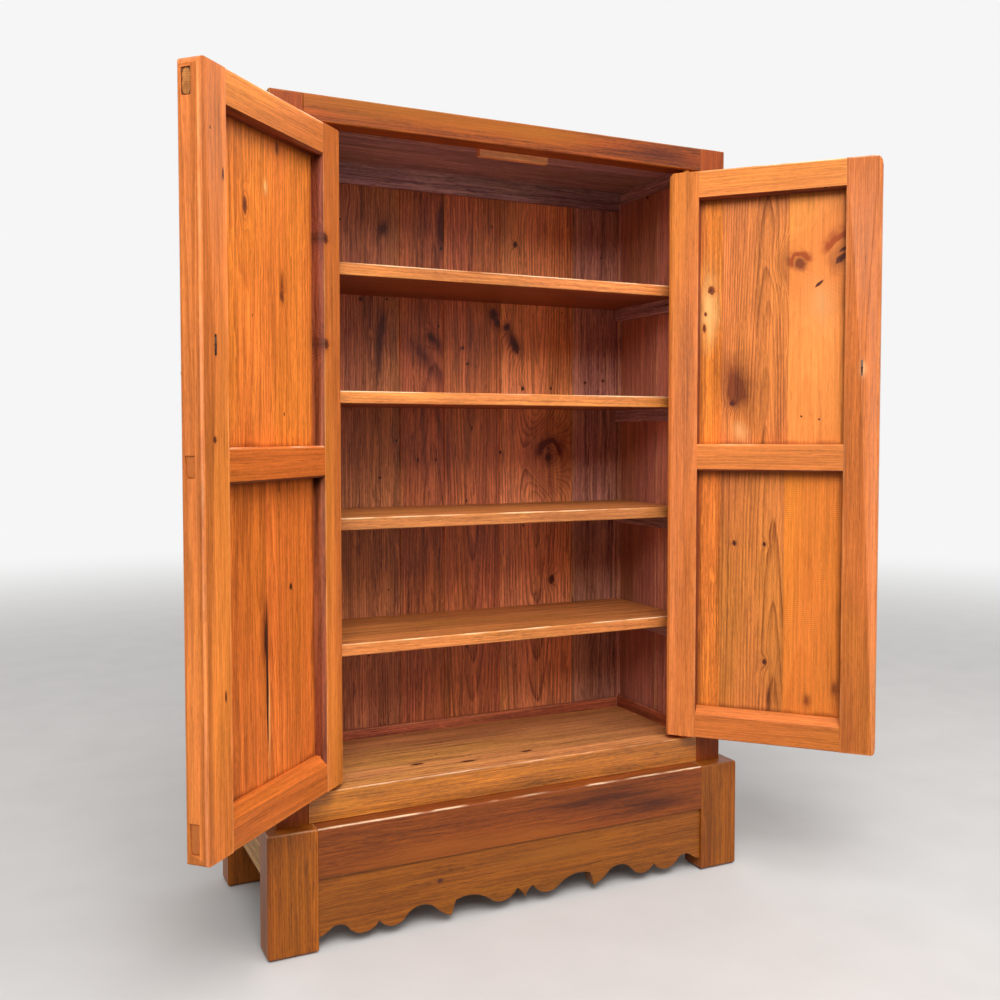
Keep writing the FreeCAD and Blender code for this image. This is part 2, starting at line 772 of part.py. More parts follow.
def build_shelves():
    """Four shelves on cleats, notched round the back posts."""
    half = f"({INNER_HALF} + side_board_inset - shelf_gap)"
    back = "(body_depth - post_depth + back_board_inset - shelf_gap)"
    notch = f"({half} - {INNER_HALF} + shelf_gap)"
    notch_y = ("body_depth - post_depth - shelf_gap", back)
    cleats = []
    for number in range(1, 5):
        section = eased("shelf_setback", back, "0", "shelf_thick")
        body = stock(f"shelf_{number}", "x", section, f"2 * {half}")
        mortise(body, "left_notch", ("0", notch), notch_y, ("0", "shelf_thick"))
        right = (f"2 * {half} - {notch}", f"2 * {half}")
        mortise(body, "right_notch", right, notch_y, ("0", "shelf_thick"))
        place(body, f"-{half}", BODY_FRONT, f"{shelf_top(number)} - shelf_thick")
        for side in (LEFT, RIGHT):
            cleat = doc.addObject("Part::Box", f"cleat_{number}_{SIDE_NAMES[side]}")
            bind(cleat, "Length", "cleat_thick")
            bind(cleat, "Width", "cleat_length")
            bind(cleat, "Height", "cleat_height")
            face = f"({INNER_HALF} + side_board_inset)"
            x = f"-{face}" if side == LEFT else f"{face} - cleat_thick"
            y = f"{BODY_FRONT} + shelf_setback + cleat_setback"
            place(cleat, x, y, f"{shelf_top(number)} - shelf_thick - cleat_height")
            cleats.append(cleat)
    group = doc.addObject("Part::Compound", "shelf_cleats")
    group.Label = "shelf_cleats"
    group.Links = cleats
    nodes.append(group)


def build_stop():
    """Pale strip behind the top rail that the closed doors meet."""
    height = "(top_rail_height - top_panel_drop - top_panel_thick + stop_drop)"
    body = stock("door_stop", "x", eased("0", "stop_thick", "0", height), "stop_length")
    level = "total_height - top_rail_height - stop_drop"
    place(body, "stop_offset - stop_length / 2", f"{BODY_FRONT} + front_rail_depth", level)


def hang(body, side):
    """Turn a piece of a door about its pivot axis to where the door stands open."""
    swing = "left_swing_angle" if side == LEFT else "right_swing_angle"
    body.Placement.Rotation = FreeCAD.Rotation(FreeCAD.Vector(0, 0, 1), 1)
    bind(body, "Placement.Rotation.Angle", f"{side} * {swing}")
    place(body, f"{side} * {PIVOT_X}", PIVOT_Y, DOOR_FOOT)


def build_door(side):
    """Door of two stiles, three rails and two panels, drawn from its pivot axis when shut.

    In the door's own frame x runs from the pivot to the free edge, y from the pivot to the inside of
    the cabinet, and z up from the foot of the door.
    """
    name = SIDE_NAMES[side] + "_door"
    outer, inner = "-pivot_from_face", "(door_thick - pivot_from_face)"
    hinge_edge, hinge_sight = "-pivot_from_edge", "(hinge_stile_width - pivot_from_edge)"
    free_edge = f"({DOOR_WIDTH} - pivot_from_edge)"
    free_sight = f"({DOOR_WIDTH} - pivot_from_edge - free_stile_width)"
    mid_low, mid_high = "door_mid_rail_rise", "(door_mid_rail_rise + door_mid_rail_height)"
    top_low = f"({DOOR_HEIGHT} - door_top_rail_height)"
    tenon_y = (
        "door_tenon_inset - pivot_from_face",
        "door_tenon_inset + door_tenon_thick - pivot_from_face",
    )
    panel_y = (
        "door_panel_inset - pivot_from_face",
        "door_panel_inset + door_panel_thick - pivot_from_face",
    )
    rails = {
        "bottom_rail": ("0", "door_bottom_rail_height"),
        "mid_rail": (mid_low, mid_high),
        "top_rail": (top_low, DOOR_HEIGHT),
    }
    fields = {
        "lower_panel": ("door_bottom_rail_height", mid_low),
        "upper_panel": (mid_high, top_low),
    }
    # Height of each rail's tenons above the rail's own foot
    tenons = {
        "bottom_rail": ("door_tenon_haunch", "door_bottom_rail_height"),
        "mid_rail": ("door_tenon_shoulder", "door_mid_rail_height - door_tenon_shoulder"),
        "top_rail": ("0", "door_top_rail_height - door_tenon_haunch"),
    }

    def across(start, end):
        return handed_span(side, start, end)

    def cut_joints(body, groove_x, mortise_x):
        for label, span in fields.items():
            mortise(body, label + "_groove", groove_x, panel_y, span)
        for label, (foot, _) in rails.items():
            levels = tuple(f"{foot} + {level}" for level in tenons[label])
            mortise(body, label + "_mortise", mortise_x, tenon_y, levels)

    def round_ends(body, edge, out):
        for label, level, up in (("top", DOOR_HEIGHT, 1), ("foot", "0", -1)):
            edge_x = edge if side == LEFT else f"(-{edge})"
            out_x = out if side == LEFT else -out
            round_corner(body, label + "_corner", edge_x, out_x, level, up, label + "_corner_round")

    def add_hinge_stile():
        soft, swell = "hinge_round", f"-{ARC_SWELL} * hinge_round"
        section = [
            (f"{hinge_edge} + {soft}", outer),
            (f"{hinge_sight} - joint_arris", outer),
            (hinge_sight, f"{outer} + joint_arris"),
            (hinge_sight, f"{inner} - joint_arris"),
            (f"{hinge_sight} - joint_arris", inner),
            (f"{hinge_edge} + {soft}", inner, swell),
            (hinge_edge, f"{inner} - {soft}"),
            (hinge_edge, f"{outer} + {soft}", swell),
        ]
        body = stock(name + "_hinge_stile", "z", handed(side, section), DOOR_HEIGHT)
        groove_x = across(f"{hinge_sight} - door_groove_depth", hinge_sight)
        cut_joints(body, groove_x, across(f"{hinge_sight} - door_tenon_blind", hinge_sight))
        round_ends(body, hinge_edge, -1)
        lower = "(door_gap_bottom + lower_pivot_depth)"
        upper = "(door_gap_top + upper_pivot_depth)"
        for label, foot, length in (
            ("lower_pivot", f"-{lower}", lower),
            ("upper_pivot", DOOR_HEIGHT, upper),
        ):
            round_feature(
                body, "PartDesign::AdditiveCylinder", label, ("0", "0", foot), "pivot_radius", length
            )
        hang(body, side)

    def add_free_stile():
        section = [
            (f"{free_sight} + joint_arris", outer),
            (f"{free_edge} - free_round", outer, f"-{ARC_SWELL} * free_round"),
            (free_edge, f"{outer} + free_round"),
            (free_edge, f"{inner} - free_round", f"-{ARC_SWELL} * free_round"),
            (f"{free_edge} - free_round", inner),
            (f"{free_sight} + joint_arris", inner),
            (free_sight, f"{inner} - joint_arris"),
            (free_sight, f"{outer} + joint_arris"),
        ]
        body = stock(name + "_free_stile", "z", handed(side, section), DOOR_HEIGHT)
        groove_x = across(free_sight, f"{free_sight} + door_groove_depth")
        cut_joints(body, groove_x, across(free_sight, free_edge))
        round_ends(body, free_edge, 1)
        round_feature(
            body,
            "PartDesign::SubtractiveCylinder",
            "pull_hole",
            (f"{-side} * ({free_edge} - free_stile_width / 2)", outer, "pull_rise"),
            "pull_shank_radius + pull_shank_gap",
            "door_thick",
            (FreeCAD.Vector(1, 0, 0), -90),
        )
        hang(body, side)

    def add_rail(label, span):
        edge_low = "arris" if label == "bottom_rail" else "sight_chamfer"
        run, rise = {
            "bottom_rail": ("sill_run", "sill_rise"),
            "mid_rail": ("sight_chamfer", "sight_chamfer"),
            "top_rail": ("arris", "arris"),
        }[label]
        height = f"door_{label}_height"
        section = [
            (f"{outer} + arris", "0"),
            (f"{inner} - {edge_low}", "0"),
            (inner, edge_low),
            (inner, f"{height} - {rise}"),
            (f"{inner} - {run}", height),
            (f"{outer} + arris", height),
            (outer, f"{height} - arris"),
            (outer, "arris"),
        ]
        length = f"({free_sight} - {hinge_sight})"
        body = stock(f"{name}_{label}", "x", section, length)
        reach = "(free_stile_width - door_tenon_recess)"
        blind = ("-door_tenon_blind", "0")
        through = (length, f"{length} + {reach}")
        if side == RIGHT:
            blind = (length, f"{length} + door_tenon_blind")
            through = (f"-{reach}", "0")
        tenon(body, "blind_tenon", blind, tenon_y, tenons[label])
        tenon(body, "through_tenon", through, tenon_y, tenons[label])
        if label != "bottom_rail":
            mortise(body, "lower_groove", ("0", length), panel_y, ("0", "door_groove_depth"))
        if label != "top_rail":
            groove_z = (f"{height} - door_groove_depth", height)
            mortise(body, "upper_groove", ("0", length), panel_y, groove_z)
        hang_from(body, hinge_sight if side == LEFT else free_sight, span[0])

    def add_panel(label, span):
        low = f"{span[0]} - door_groove_depth"
        high = f"{span[1]} + door_groove_depth - groove_end_gap"
        start = f"{hinge_sight} - door_groove_depth + groove_end_gap"
        end = f"{free_sight} + door_groove_depth - groove_end_gap"
        section = handed(side, rectangle(start, end, *panel_y))
        height = f"({high} - ({low}))"
        body = stock(f"{name}_{label}", "z", section, height)
        foot, head = ("0", "door_groove_depth"), (f"{span[1]} - ({low})", height)
        for edge, notch_x in (("hinge", (start, hinge_sight)), ("free", (free_sight, end))):
            mortise(body, f"{edge}_foot_notch", across(*notch_x), panel_y, foot)
            mortise(body, f"{edge}_head_notch", across(*notch_x), panel_y, head)
        hang_from(body, "0", low)

    def hang_from(body, along, rise):
        hang(body, side)
        swing = "left_swing_angle" if side == LEFT else "right_swing_angle"
        place(
            body,
            f"{side} * ({PIVOT_X} - ({along}) * cos({swing}))",
            f"{PIVOT_Y} - ({along}) * sin({swing})",
            f"{DOOR_FOOT} + {rise}",
        )

    add_hinge_stile()
    add_free_stile()
    for label, span in rails.items():
        add_rail(label, span)
    for label, span in fields.items():
        add_panel(label, span)


def build_pull(side):
    """Pull on the outer face of a free stile: plate, split pin and hanging drop.

    In the pull's own frame the origin is where the pin's axis meets the outer face, y runs into the
    door and x along it.
    """
    name = SIDE_NAMES[side] + "_pull"
    along = f"({DOOR_WIDTH} - pivot_from_edge - free_stile_width / 2)"
    swing = "left_swing_angle" if side == LEFT else "right_swing_angle"

    def hang_pull(body):
        hang(body, side)
        reach_x = f"({along}) * cos({swing}) - pivot_from_face * sin({swing})"
        reach_y = f"({along}) * sin({swing}) + pivot_from_face * cos({swing})"
        place(
            body,
            f"{side} * ({PIVOT_X} - ({reach_x}))",
            f"{PIVOT_Y} - ({reach_y})",
            f"{DOOR_FOOT} + pull_rise",
        )

    def turned(label, role, profile, axis):
        body = doc.addObject("PartDesign::Body", label)
        body.Label = label
        revolution = body.newObject("PartDesign::Revolution", label + "_turning")
        revolution.Profile = outline(body, label + "_profile", role, profile)
        revolution.ReferenceAxis = (revolution.Profile[0], [axis])
        revolution.Angle = 360
        body.Tip = revolution
        nodes.append(body)
        return body

    hole = "(pull_shank_radius + pull_shank_gap)"
    plate = turned(
        name + "_plate",
        "XY_Plane",
        [
            (hole, "0"),
            ("plate_radius", "0"),
            ("plate_radius", "-plate_rim_thick"),
            ("plate_boss_radius * 2", "-plate_rim_thick - 0.2 * plate_boss_height", "-plate_flare"),
            ("plate_boss_radius", "-plate_boss_height"),
            (hole, "-plate_boss_height"),
        ],
        "V_Axis",
    )
    hang_pull(plate)

    eye = "(-pull_eye_out)"
    collar_foot = "(-plate_boss_height - pull_collar_thick)"
    pin = doc.addObject("PartDesign::Body", name + "_pin")
    pin.Label = name + "_pin"
    nodes.append(pin)
    lengthwise = (FreeCAD.Vector(1, 0, 0), -90)
    add = "PartDesign::AdditiveCylinder"
    shank = "door_thick + pin_leg_thick + pull_eye_out - pull_eye_radius"
    start = f"{eye} + pull_eye_radius"
    round_feature(pin, add, "shank", ("0", start, "0"), "pull_shank_radius", shank, lengthwise)
    round_feature(
        pin, add, "collar", ("0", collar_foot, "0"), "pull_collar_radius", "pull_collar_thick", lengthwise
    )
    ring = pin.newObject("PartDesign::AdditiveTorus", name + "_pin_eye")
    ring.Placement.Rotation = FreeCAD.Rotation(FreeCAD.Vector(0, 1, 0), 90)
    bind(ring, "Radius1", "pull_eye_radius")
    bind(ring, "Radius2", "pull_eye_wire")
    bind(ring, "Placement.Base.y", eye)
    tenon(
        pin,
        "legs",
        ("-pin_leg_width / 2", "pin_leg_width / 2"),
        ("door_thick", "door_thick + pin_leg_thick"),
        ("-pin_leg_length", "pin_leg_length"),
    )
    hang_pull(pin)

    neck = "(-pull_neck_drop)"
    drop = turned(
        name + "_drop",
        "XZ_Plane",
        [
            ("0", neck),
            ("pull_shoulder_radius", neck, "pull_waist"),
            ("pull_neck_radius", f"{neck} - 0.5 * pull_shoulder_radius", "-pull_waist"),
            ("pull_belly_radius", f"{neck} - pull_belly_drop", "pull_tail_swell"),
            ("0", f"{neck} - pull_tail_drop"),
        ],
        "V_Axis",
    )
    bar = "(pull_eye_radius - pull_eye_wire - pull_bar_gap)"
    crosswise = (FreeCAD.Vector(0, 1, 0), 90)
    for hand in (LEFT, RIGHT):
        round_feature(
            drop,
            add,
            f"{SIDE_NAMES[hand]}_arm",
            (f"{hand} * pull_arm_spread", "0", f"{neck} - 0.5 * pull_arm_radius"),
            "pull_arm_radius",
            "pull_neck_drop + 0.5 * pull_arm_radius",
        )
    round_feature(
        drop, add, "bar", ("-pull_bar_length / 2", "0", "0"), bar, "pull_bar_length", crosswise
    )
    hang(drop, side)
    out = "(pivot_from_face + pull_eye_out)"
    place(
        drop,
        f"{side} * ({PIVOT_X} - ({along}) * cos({swing}) + {out} * sin({swing}))",
        f"{PIVOT_Y} - ({along}) * sin({swing}) - {out} * cos({swing})",
        f"{DOOR_FOOT} + pull_rise",
    )


def build():
    """Make every piece of the cabinet."""
    for side in (LEFT, RIGHT):
        for end in ("front", "back"):
            build_leg(side, end)
            build_post(side, end)
    build_base_rails()
    build_apron()
    build_front_rails()
    build_side_rails()
    build_back_rails()
    build_back_boards()
    build_side_boards()
    build_level_panels()
    build_shelves()
    build_stop()
    for side in (LEFT, RIGHT):
        build_door(side)
        build_pull(side)
    doc.recompute()


def write():
    """Check every object and every piece, then write one file per piece."""
    for feature in doc.Objects:
        if {"Invalid", "Error"} & set(feature.State):
            raise RuntimeError(f"{feature.Label} failed: {feature.State}")
    for node in nodes:
        shape = node.Shape
        if shape.isNull() or not shape.isValid():
            raise RuntimeError(f"{node.Label} has no valid shape")
        if node.isDerivedFrom("PartDesign::Body") and len(shape.Solids) != 1:
            raise RuntimeError(f"{node.Label} is {len(shape.Solids)} solids")
    os.makedirs("parts", exist_ok=True)
    for node in nodes:
        node.Shape.exportStep(os.path.join("parts", node.Label + ".step"))
    print(len(nodes), "pieces written")


build()
write()
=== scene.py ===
"""Looks of a two-door pine cabinet with its doors open, on a stand with a scalloped apron.

Every length is in metres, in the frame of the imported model: +Z up, the front faces -Y.
"""

import json
import logging
import math
import random
from dataclasses import dataclass, replace
from enum import Enum, StrEnum
from types import SimpleNamespace
from typing import Callable, ClassVar, Iterable, Sequence, Union

import bmesh
import bpy
from mathutils import Matrix, Vector


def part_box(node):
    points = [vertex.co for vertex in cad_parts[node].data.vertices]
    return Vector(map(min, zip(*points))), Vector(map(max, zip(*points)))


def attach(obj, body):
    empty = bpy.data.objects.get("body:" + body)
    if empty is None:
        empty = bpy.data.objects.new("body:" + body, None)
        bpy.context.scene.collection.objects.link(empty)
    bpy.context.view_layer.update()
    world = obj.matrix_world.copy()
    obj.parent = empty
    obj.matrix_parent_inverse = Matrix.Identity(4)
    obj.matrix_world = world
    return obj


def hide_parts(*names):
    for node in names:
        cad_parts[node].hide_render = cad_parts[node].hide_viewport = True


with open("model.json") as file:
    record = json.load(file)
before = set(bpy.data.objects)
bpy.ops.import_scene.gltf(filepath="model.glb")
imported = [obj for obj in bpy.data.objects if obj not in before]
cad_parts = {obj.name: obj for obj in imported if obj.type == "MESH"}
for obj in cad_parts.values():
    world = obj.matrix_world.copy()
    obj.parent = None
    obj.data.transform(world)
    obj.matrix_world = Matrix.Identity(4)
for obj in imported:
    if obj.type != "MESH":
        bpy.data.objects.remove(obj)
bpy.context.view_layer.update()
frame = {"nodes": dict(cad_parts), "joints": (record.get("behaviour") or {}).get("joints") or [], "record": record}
LOG = logging.getLogger("cabinet")
BODY_OF_NODE = {
    node: body for body, members in frame["record"]["behaviour"]["bodies"].items() for node in members
}
JOINTS = {joint["name"]: joint for joint in frame["joints"]}
UP = Vector((0.0, 0.0, 1.0))

Colour = tuple[float, float, float]
Place = tuple[float, float, float]
Span = tuple[float, float]
Value = Union[float, Sequence[float], "Signal"]
Placed = tuple[Vector, "Blemish"]
Chooser = Callable[[Vector, Vector], bool]
Stain = tuple[str, "PineFinish", Chooser]


class Side(StrEnum):
    """Sides of the cabinet, as the names of the pieces call them."""

    LEFT = "left"
    RIGHT = "right"


class Grain(Enum):
    """Direction of a board's grain, then the direction across its broad face."""

    UPRIGHT = ((0, 0, 1), (1, 0, 0))
    UPRIGHT_SIDE = ((0, 0, 1), (0, 1, 0))
    ACROSS = ((1, 0, 0), (0, 0, 1))
    ACROSS_FLAT = ((1, 0, 0), (0, 1, 0))
    DEEP = ((0, 1, 0), (0, 0, 1))

    def axes(self, turn: float = 0.0) -> Matrix:
        """Rows that take a place in the cabinet to along, across and through a board.

        Args:
            turn: angle about Z by which the board's assembly is turned, in radians.

        Returns:
            A rotation matrix.
        """
        spin = Matrix.Rotation(turn, 3, "Z")
        along, across = (spin @ Vector(direction) for direction in self.value)
        return Matrix((along, across, along.cross(across)))


class Cut(Enum):
    """Where a board lay in its log: how deep, how tilted and how far aside the pith is."""

    PLAIN = ((0.03, 0.10), (0.010, 0.04), (0.0, 0.05))
    STRAIGHT = ((0.03, 0.07), (0.003, 0.012), (0.10, 0.20))
    ARCHED = ((0.014, 0.024), (0.035, 0.055), (0.0, 0.014))

    def pith(self, rng: random.Random) -> Vector:
        """Tilt of a board's pith along it, then its place across and through it, drawn by chance."""
        depth, tilt, aside = (rng.choice((-1, 1)) * rng.uniform(*span) for span in self.value)
        return Vector((tilt, aside, depth))


class Mark(Enum):
    """Kinds of mark on a board: strength of its core, of its upper rim and of its stain."""

    KNOT = (1.0, 0.0, 0.55)
    HOLE = (1.0, 0.0, 0.0)
    BURR = (0.0, 1.7, 0.15)
    STAIN = (0.0, 0.0, 1.1)
    SHADE = (0.0, 0.0, 0.38)
    PALE = (0.0, 0.0, -0.9)

    def at(self, *rows: Sequence[float]) -> tuple["Blemish", ...]:
        """Marks of this kind, each given by its x, z, radius, stretch and lean."""
        return tuple(Blemish(self, *row) for row in rows)


@dataclass(frozen=True)
class Blemish:
    """Mark on the broad face of a board, placed in the face of its assembly."""

    kind: Mark
    x: float
    z: float
    radius: float
    stretch: float = 1.5
    lean: float = 0.0


@dataclass(frozen=True)
class PineFinish:
    """One stain and lacquer on pine, with its painted highlight and painted shade; colours are linear."""

    early: Colour
    late: Colour
    knot: Colour = (0.10, 0.022, 0.009)
    worn: Colour = (0.70, 0.33, 0.11)
    # The glow colour and the glint level below paint a highlight along the upper arris.
    glow: Colour = (0.95, 0.62, 0.40)
    ring: float = 0.003
    contrast: float = 0.75
    streak: float = 0.5
    lines: float = 0.3
    saw: float = 0.0
    patch: float = 0.15
    wear: float = 0.35
    # The next level paints shade along the borders and below the top edge, with grime.
    grime: float = 0.0
    glint: float = 0.5
    knot_chance: float = 0.12
    holes: float = 0.10
    roughness: float = 0.42
    gloss: float = 0.2
    coat: float = 0.0
    cut: Cut = Cut.STRAIGHT

    def toned(self, early: Colour, late: Colour, **changes: object) -> "PineFinish":
        """Same finish in another tone, with other changes if any."""
        return replace(self, early=early, late=late, **changes)


@dataclass(frozen=True)
class MetalFinish:
    """Aged cast metal; colours are linear."""

    bright: Colour
    dull: Colour
    roughness: float = 0.38


DOOR_FRAME = PineFinish(
    (0.6, 0.176, 0.038), (0.4, 0.09, 0.016), wear=0.15, contrast=0.5, streak=0.45, lines=0.12,
    knot_chance=0.0, holes=0.04, glint=0.75,
)
DOOR_STILE = DOOR_FRAME.toned((0.55, 0.152, 0.032), (0.37, 0.079, 0.0135), worn=(0.86, 0.42, 0.18))
DOOR_RED = DOOR_FRAME.toned((0.59, 0.142, 0.025), (0.39, 0.072, 0.0105))
DOOR_PALE = DOOR_FRAME.toned((0.66, 0.205, 0.047), (0.44, 0.105, 0.02))
# Dark stain in the door reveals; on the rails' downward faces it is also painted shade.
DOOR_REVEAL_STAIN_AND_SHADE = PineFinish(
    (0.23, 0.050, 0.022), (0.10, 0.020, 0.010), contrast=0.8, streak=0.8, wear=0.1, knot_chance=0.0,
    glint=0.0,
)
DOOR_PANEL = PineFinish(
    (0.77, 0.205, 0.035), (0.43, 0.086, 0.015), knot=(0.20, 0.045, 0.014), worn=(0.98, 0.56, 0.20),
    contrast=0.7, streak=0.6, lines=0.35, grime=0.7, knot_chance=0.05, cut=Cut.PLAIN,
)
DOOR_PANEL_LOW = DOOR_PANEL.toned((0.65, 0.155, 0.026), (0.36, 0.065, 0.011), knot=(0.055, 0.013, 0.006))
DOOR_BROWN = PineFinish(
    (0.62, 0.186, 0.047), (0.23, 0.056, 0.013), worn=(0.86, 0.42, 0.15), ring=0.0036, contrast=1.0,
    grime=0.7, knot_chance=0.0, cut=Cut.ARCHED,
)
DOOR_BROWN_LOW = replace(DOOR_BROWN, saw=0.08)
DOOR_LIGHT = PineFinish(
    (0.84, 0.272, 0.061), (0.66, 0.177, 0.034), ring=0.005, contrast=0.45, streak=0.3, lines=0.1,
    grime=0.7, knot_chance=0.0, cut=Cut.PLAIN,
)
DOOR_LIGHT_LOW = DOOR_LIGHT.toned((0.79, 0.22, 0.034), (0.62, 0.143, 0.019), saw=0.16)
BACK_BROWN = PineFinish(
    (0.46, 0.142, 0.066), (0.14, 0.033, 0.02), contrast=0.9, streak=0.9, lines=0.7, patch=0.5, holes=0.3
)
BACK_RED = PineFinish(
    (0.51, 0.133, 0.056), (0.17, 0.033, 0.018), contrast=0.8, streak=0.9, lines=0.6, patch=0.5, holes=0.3,
    cut=Cut.PLAIN,
)
BACK_AMBER = PineFinish(
    (0.81, 0.255, 0.103), (0.245, 0.057, 0.029), ring=0.0042, contrast=1.0, streak=0.7, lines=0.5,
    patch=0.4, holes=0.35, cut=Cut.ARCHED,
)
BACK_WARM = BACK_AMBER.toned((0.61, 0.160, 0.066), (0.185, 0.037, 0.019))
BACK_DARK = PineFinish(
    (0.53, 0.205, 0.155), (0.15, 0.046, 0.037), contrast=0.9, streak=0.9, lines=0.6, patch=0.6, holes=0.2
)
SIDE_BOARD = PineFinish(
    (0.52, 0.185, 0.125), (0.2, 0.062, 0.044), contrast=0.7, streak=0.6, patch=0.4, holes=0.2
)
SIDE_BOARD_PALE = SIDE_BOARD.toned((0.67, 0.24, 0.162), (0.26, 0.08, 0.057))
SHELF = PineFinish(
    (0.50, 0.165, 0.046), (0.27, 0.070, 0.018), contrast=0.7, streak=0.7, glint=0.0, cut=Cut.PLAIN
)
SHELF_EDGE = PineFinish(
    (0.66, 0.218, 0.061), (0.46, 0.126, 0.03), contrast=0.6, streak=0.6, glint=0.7, glow=(1.0, 0.72, 0.44)
)
SHELF_EDGE_DULL = SHELF_EDGE.toned((0.51, 0.18, 0.053), (0.36, 0.104, 0.026), patch=0.5)
# Painted shade: dark stain laid on the shelves' downward faces for the shade beneath them.
SHELF_UNDER_SHADE = PineFinish((0.26, 0.062, 0.024), (0.12, 0.026, 0.012), streak=0.9, lines=0.4)
FLOOR_PANEL = PineFinish(
    (0.98, 0.40, 0.135), (0.58, 0.17, 0.049), contrast=0.7, streak=0.9, grime=0.5, patch=0.4, gloss=0.5,
    coat=0.15, glint=0.0,
)
TOP_RAIL = PineFinish(
    (0.27, 0.049, 0.006), (0.115, 0.0175, 0.003), worn=(0.34, 0.104, 0.006), contrast=0.8, streak=0.9,
    patch=0.5, glint=0.15, knot_chance=0.0,
)
BOTTOM_RAIL = PineFinish(
    (0.50, 0.154, 0.012), (0.225, 0.058, 0.005), contrast=0.8, streak=0.8, patch=0.5, gloss=0.5, coat=0.2
)
FRONT_POST = replace(TOP_RAIL, contrast=0.4, streak=0.4, patch=0.25)
OUTSIDE = PineFinish(
    (0.36, 0.095, 0.016), (0.16, 0.034, 0.007), ring=0.0035, streak=0.6, patch=0.3, glint=0.2, gloss=0.3
)
TOP_PANEL = PineFinish(
    (0.46, 0.245, 0.255), (0.19, 0.096, 0.1), wear=0.0, contrast=0.9, streak=0.9, lines=0.5, patch=0.5,
    glint=0.0,
)
FRAME_INNER = PineFinish(
    (0.47, 0.112, 0.054), (0.21, 0.047, 0.024), wear=0.1, contrast=0.8, streak=0.9, lines=0.4, patch=0.5,
    glint=0.1,
)
STAND = PineFinish(
    (0.27, 0.074, 0.006), (0.11, 0.0245, 0.0035), worn=(0.33, 0.105, 0.010), glow=(0.80, 0.50, 0.28),
    wear=0.08, ring=0.0024, contrast=0.7, streak=0.6, patch=0.6, gloss=0.3, coat=0.06, knot_chance=0.0,
    glint=0.35,
)
STAND_LEG = STAND.toned((0.35, 0.086, 0.006), (0.12, 0.024, 0.003))
STAND_RED = STAND.toned(
    (0.255, 0.054, 0.006), (0.1, 0.0165, 0.003), worn=(0.32, 0.082, 0.008), glow=(0.90, 0.66, 0.42),
    streak=0.65, lines=0.35, patch=0.8, glint=0.8,
)
BARE = PineFinish(
    (0.56, 0.29, 0.15), (0.37, 0.17, 0.082), contrast=0.5, streak=0.8, lines=0.4, roughness=0.7, wear=0.1
)
STOP = PineFinish(
    (0.85, 0.33, 0.15), (0.62, 0.21, 0.09), ring=0.0042, contrast=0.4, roughness=0.6, glint=0.0,
    cut=Cut.PLAIN,
)
BRASS = MetalFinish(bright=(0.58, 0.39, 0.14), dull=(0.27, 0.165, 0.06))
IRON = MetalFinish(bright=(0.16, 0.12, 0.09), dull=(0.045, 0.03, 0.022), roughness=0.55)


class Signal:
    """One value of a node tree, which can be reckoned with like a number."""

    def __init__(self, graph: "Graph", socket: bpy.types.NodeSocket) -> None:
        """Keep the output that gives the value, and its graph."""
        self.graph = graph
        self.socket = socket

    def __add__(self, other: Value) -> "Signal":
        """Sum with another value."""
        return self.graph.maths("ADD", self, other)

    def __sub__(self, other: Value) -> "Signal":
        """What is left when another value is taken away."""
        return self.graph.maths("SUBTRACT", self, other)

    def __rsub__(self, other: float) -> "Signal":
        """What is left of a number when this value is taken away."""
        return self.graph.maths("SUBTRACT", other, self)

    def __mul__(self, other: Value) -> "Signal":
        """Product with another value."""
        return self.graph.maths("MULTIPLY", self, other)

    def __truediv__(self, other: Value) -> "Signal":
        """Quotient by another value."""
        return self.graph.maths("DIVIDE", self, other)

    def times(self, factor: Value, plus: Value) -> "Signal":
        """Product with a factor, plus another value, in one node."""
        return self.graph.maths("MULTIPLY_ADD", self, factor, plus)


@dataclass(frozen=True)
class Patches:
    """Patches of noise: features per metre, the levels where one begins and is full, and octaves."""

    stretch: Place
    start: float
    full: float
    detail: float = 2.0


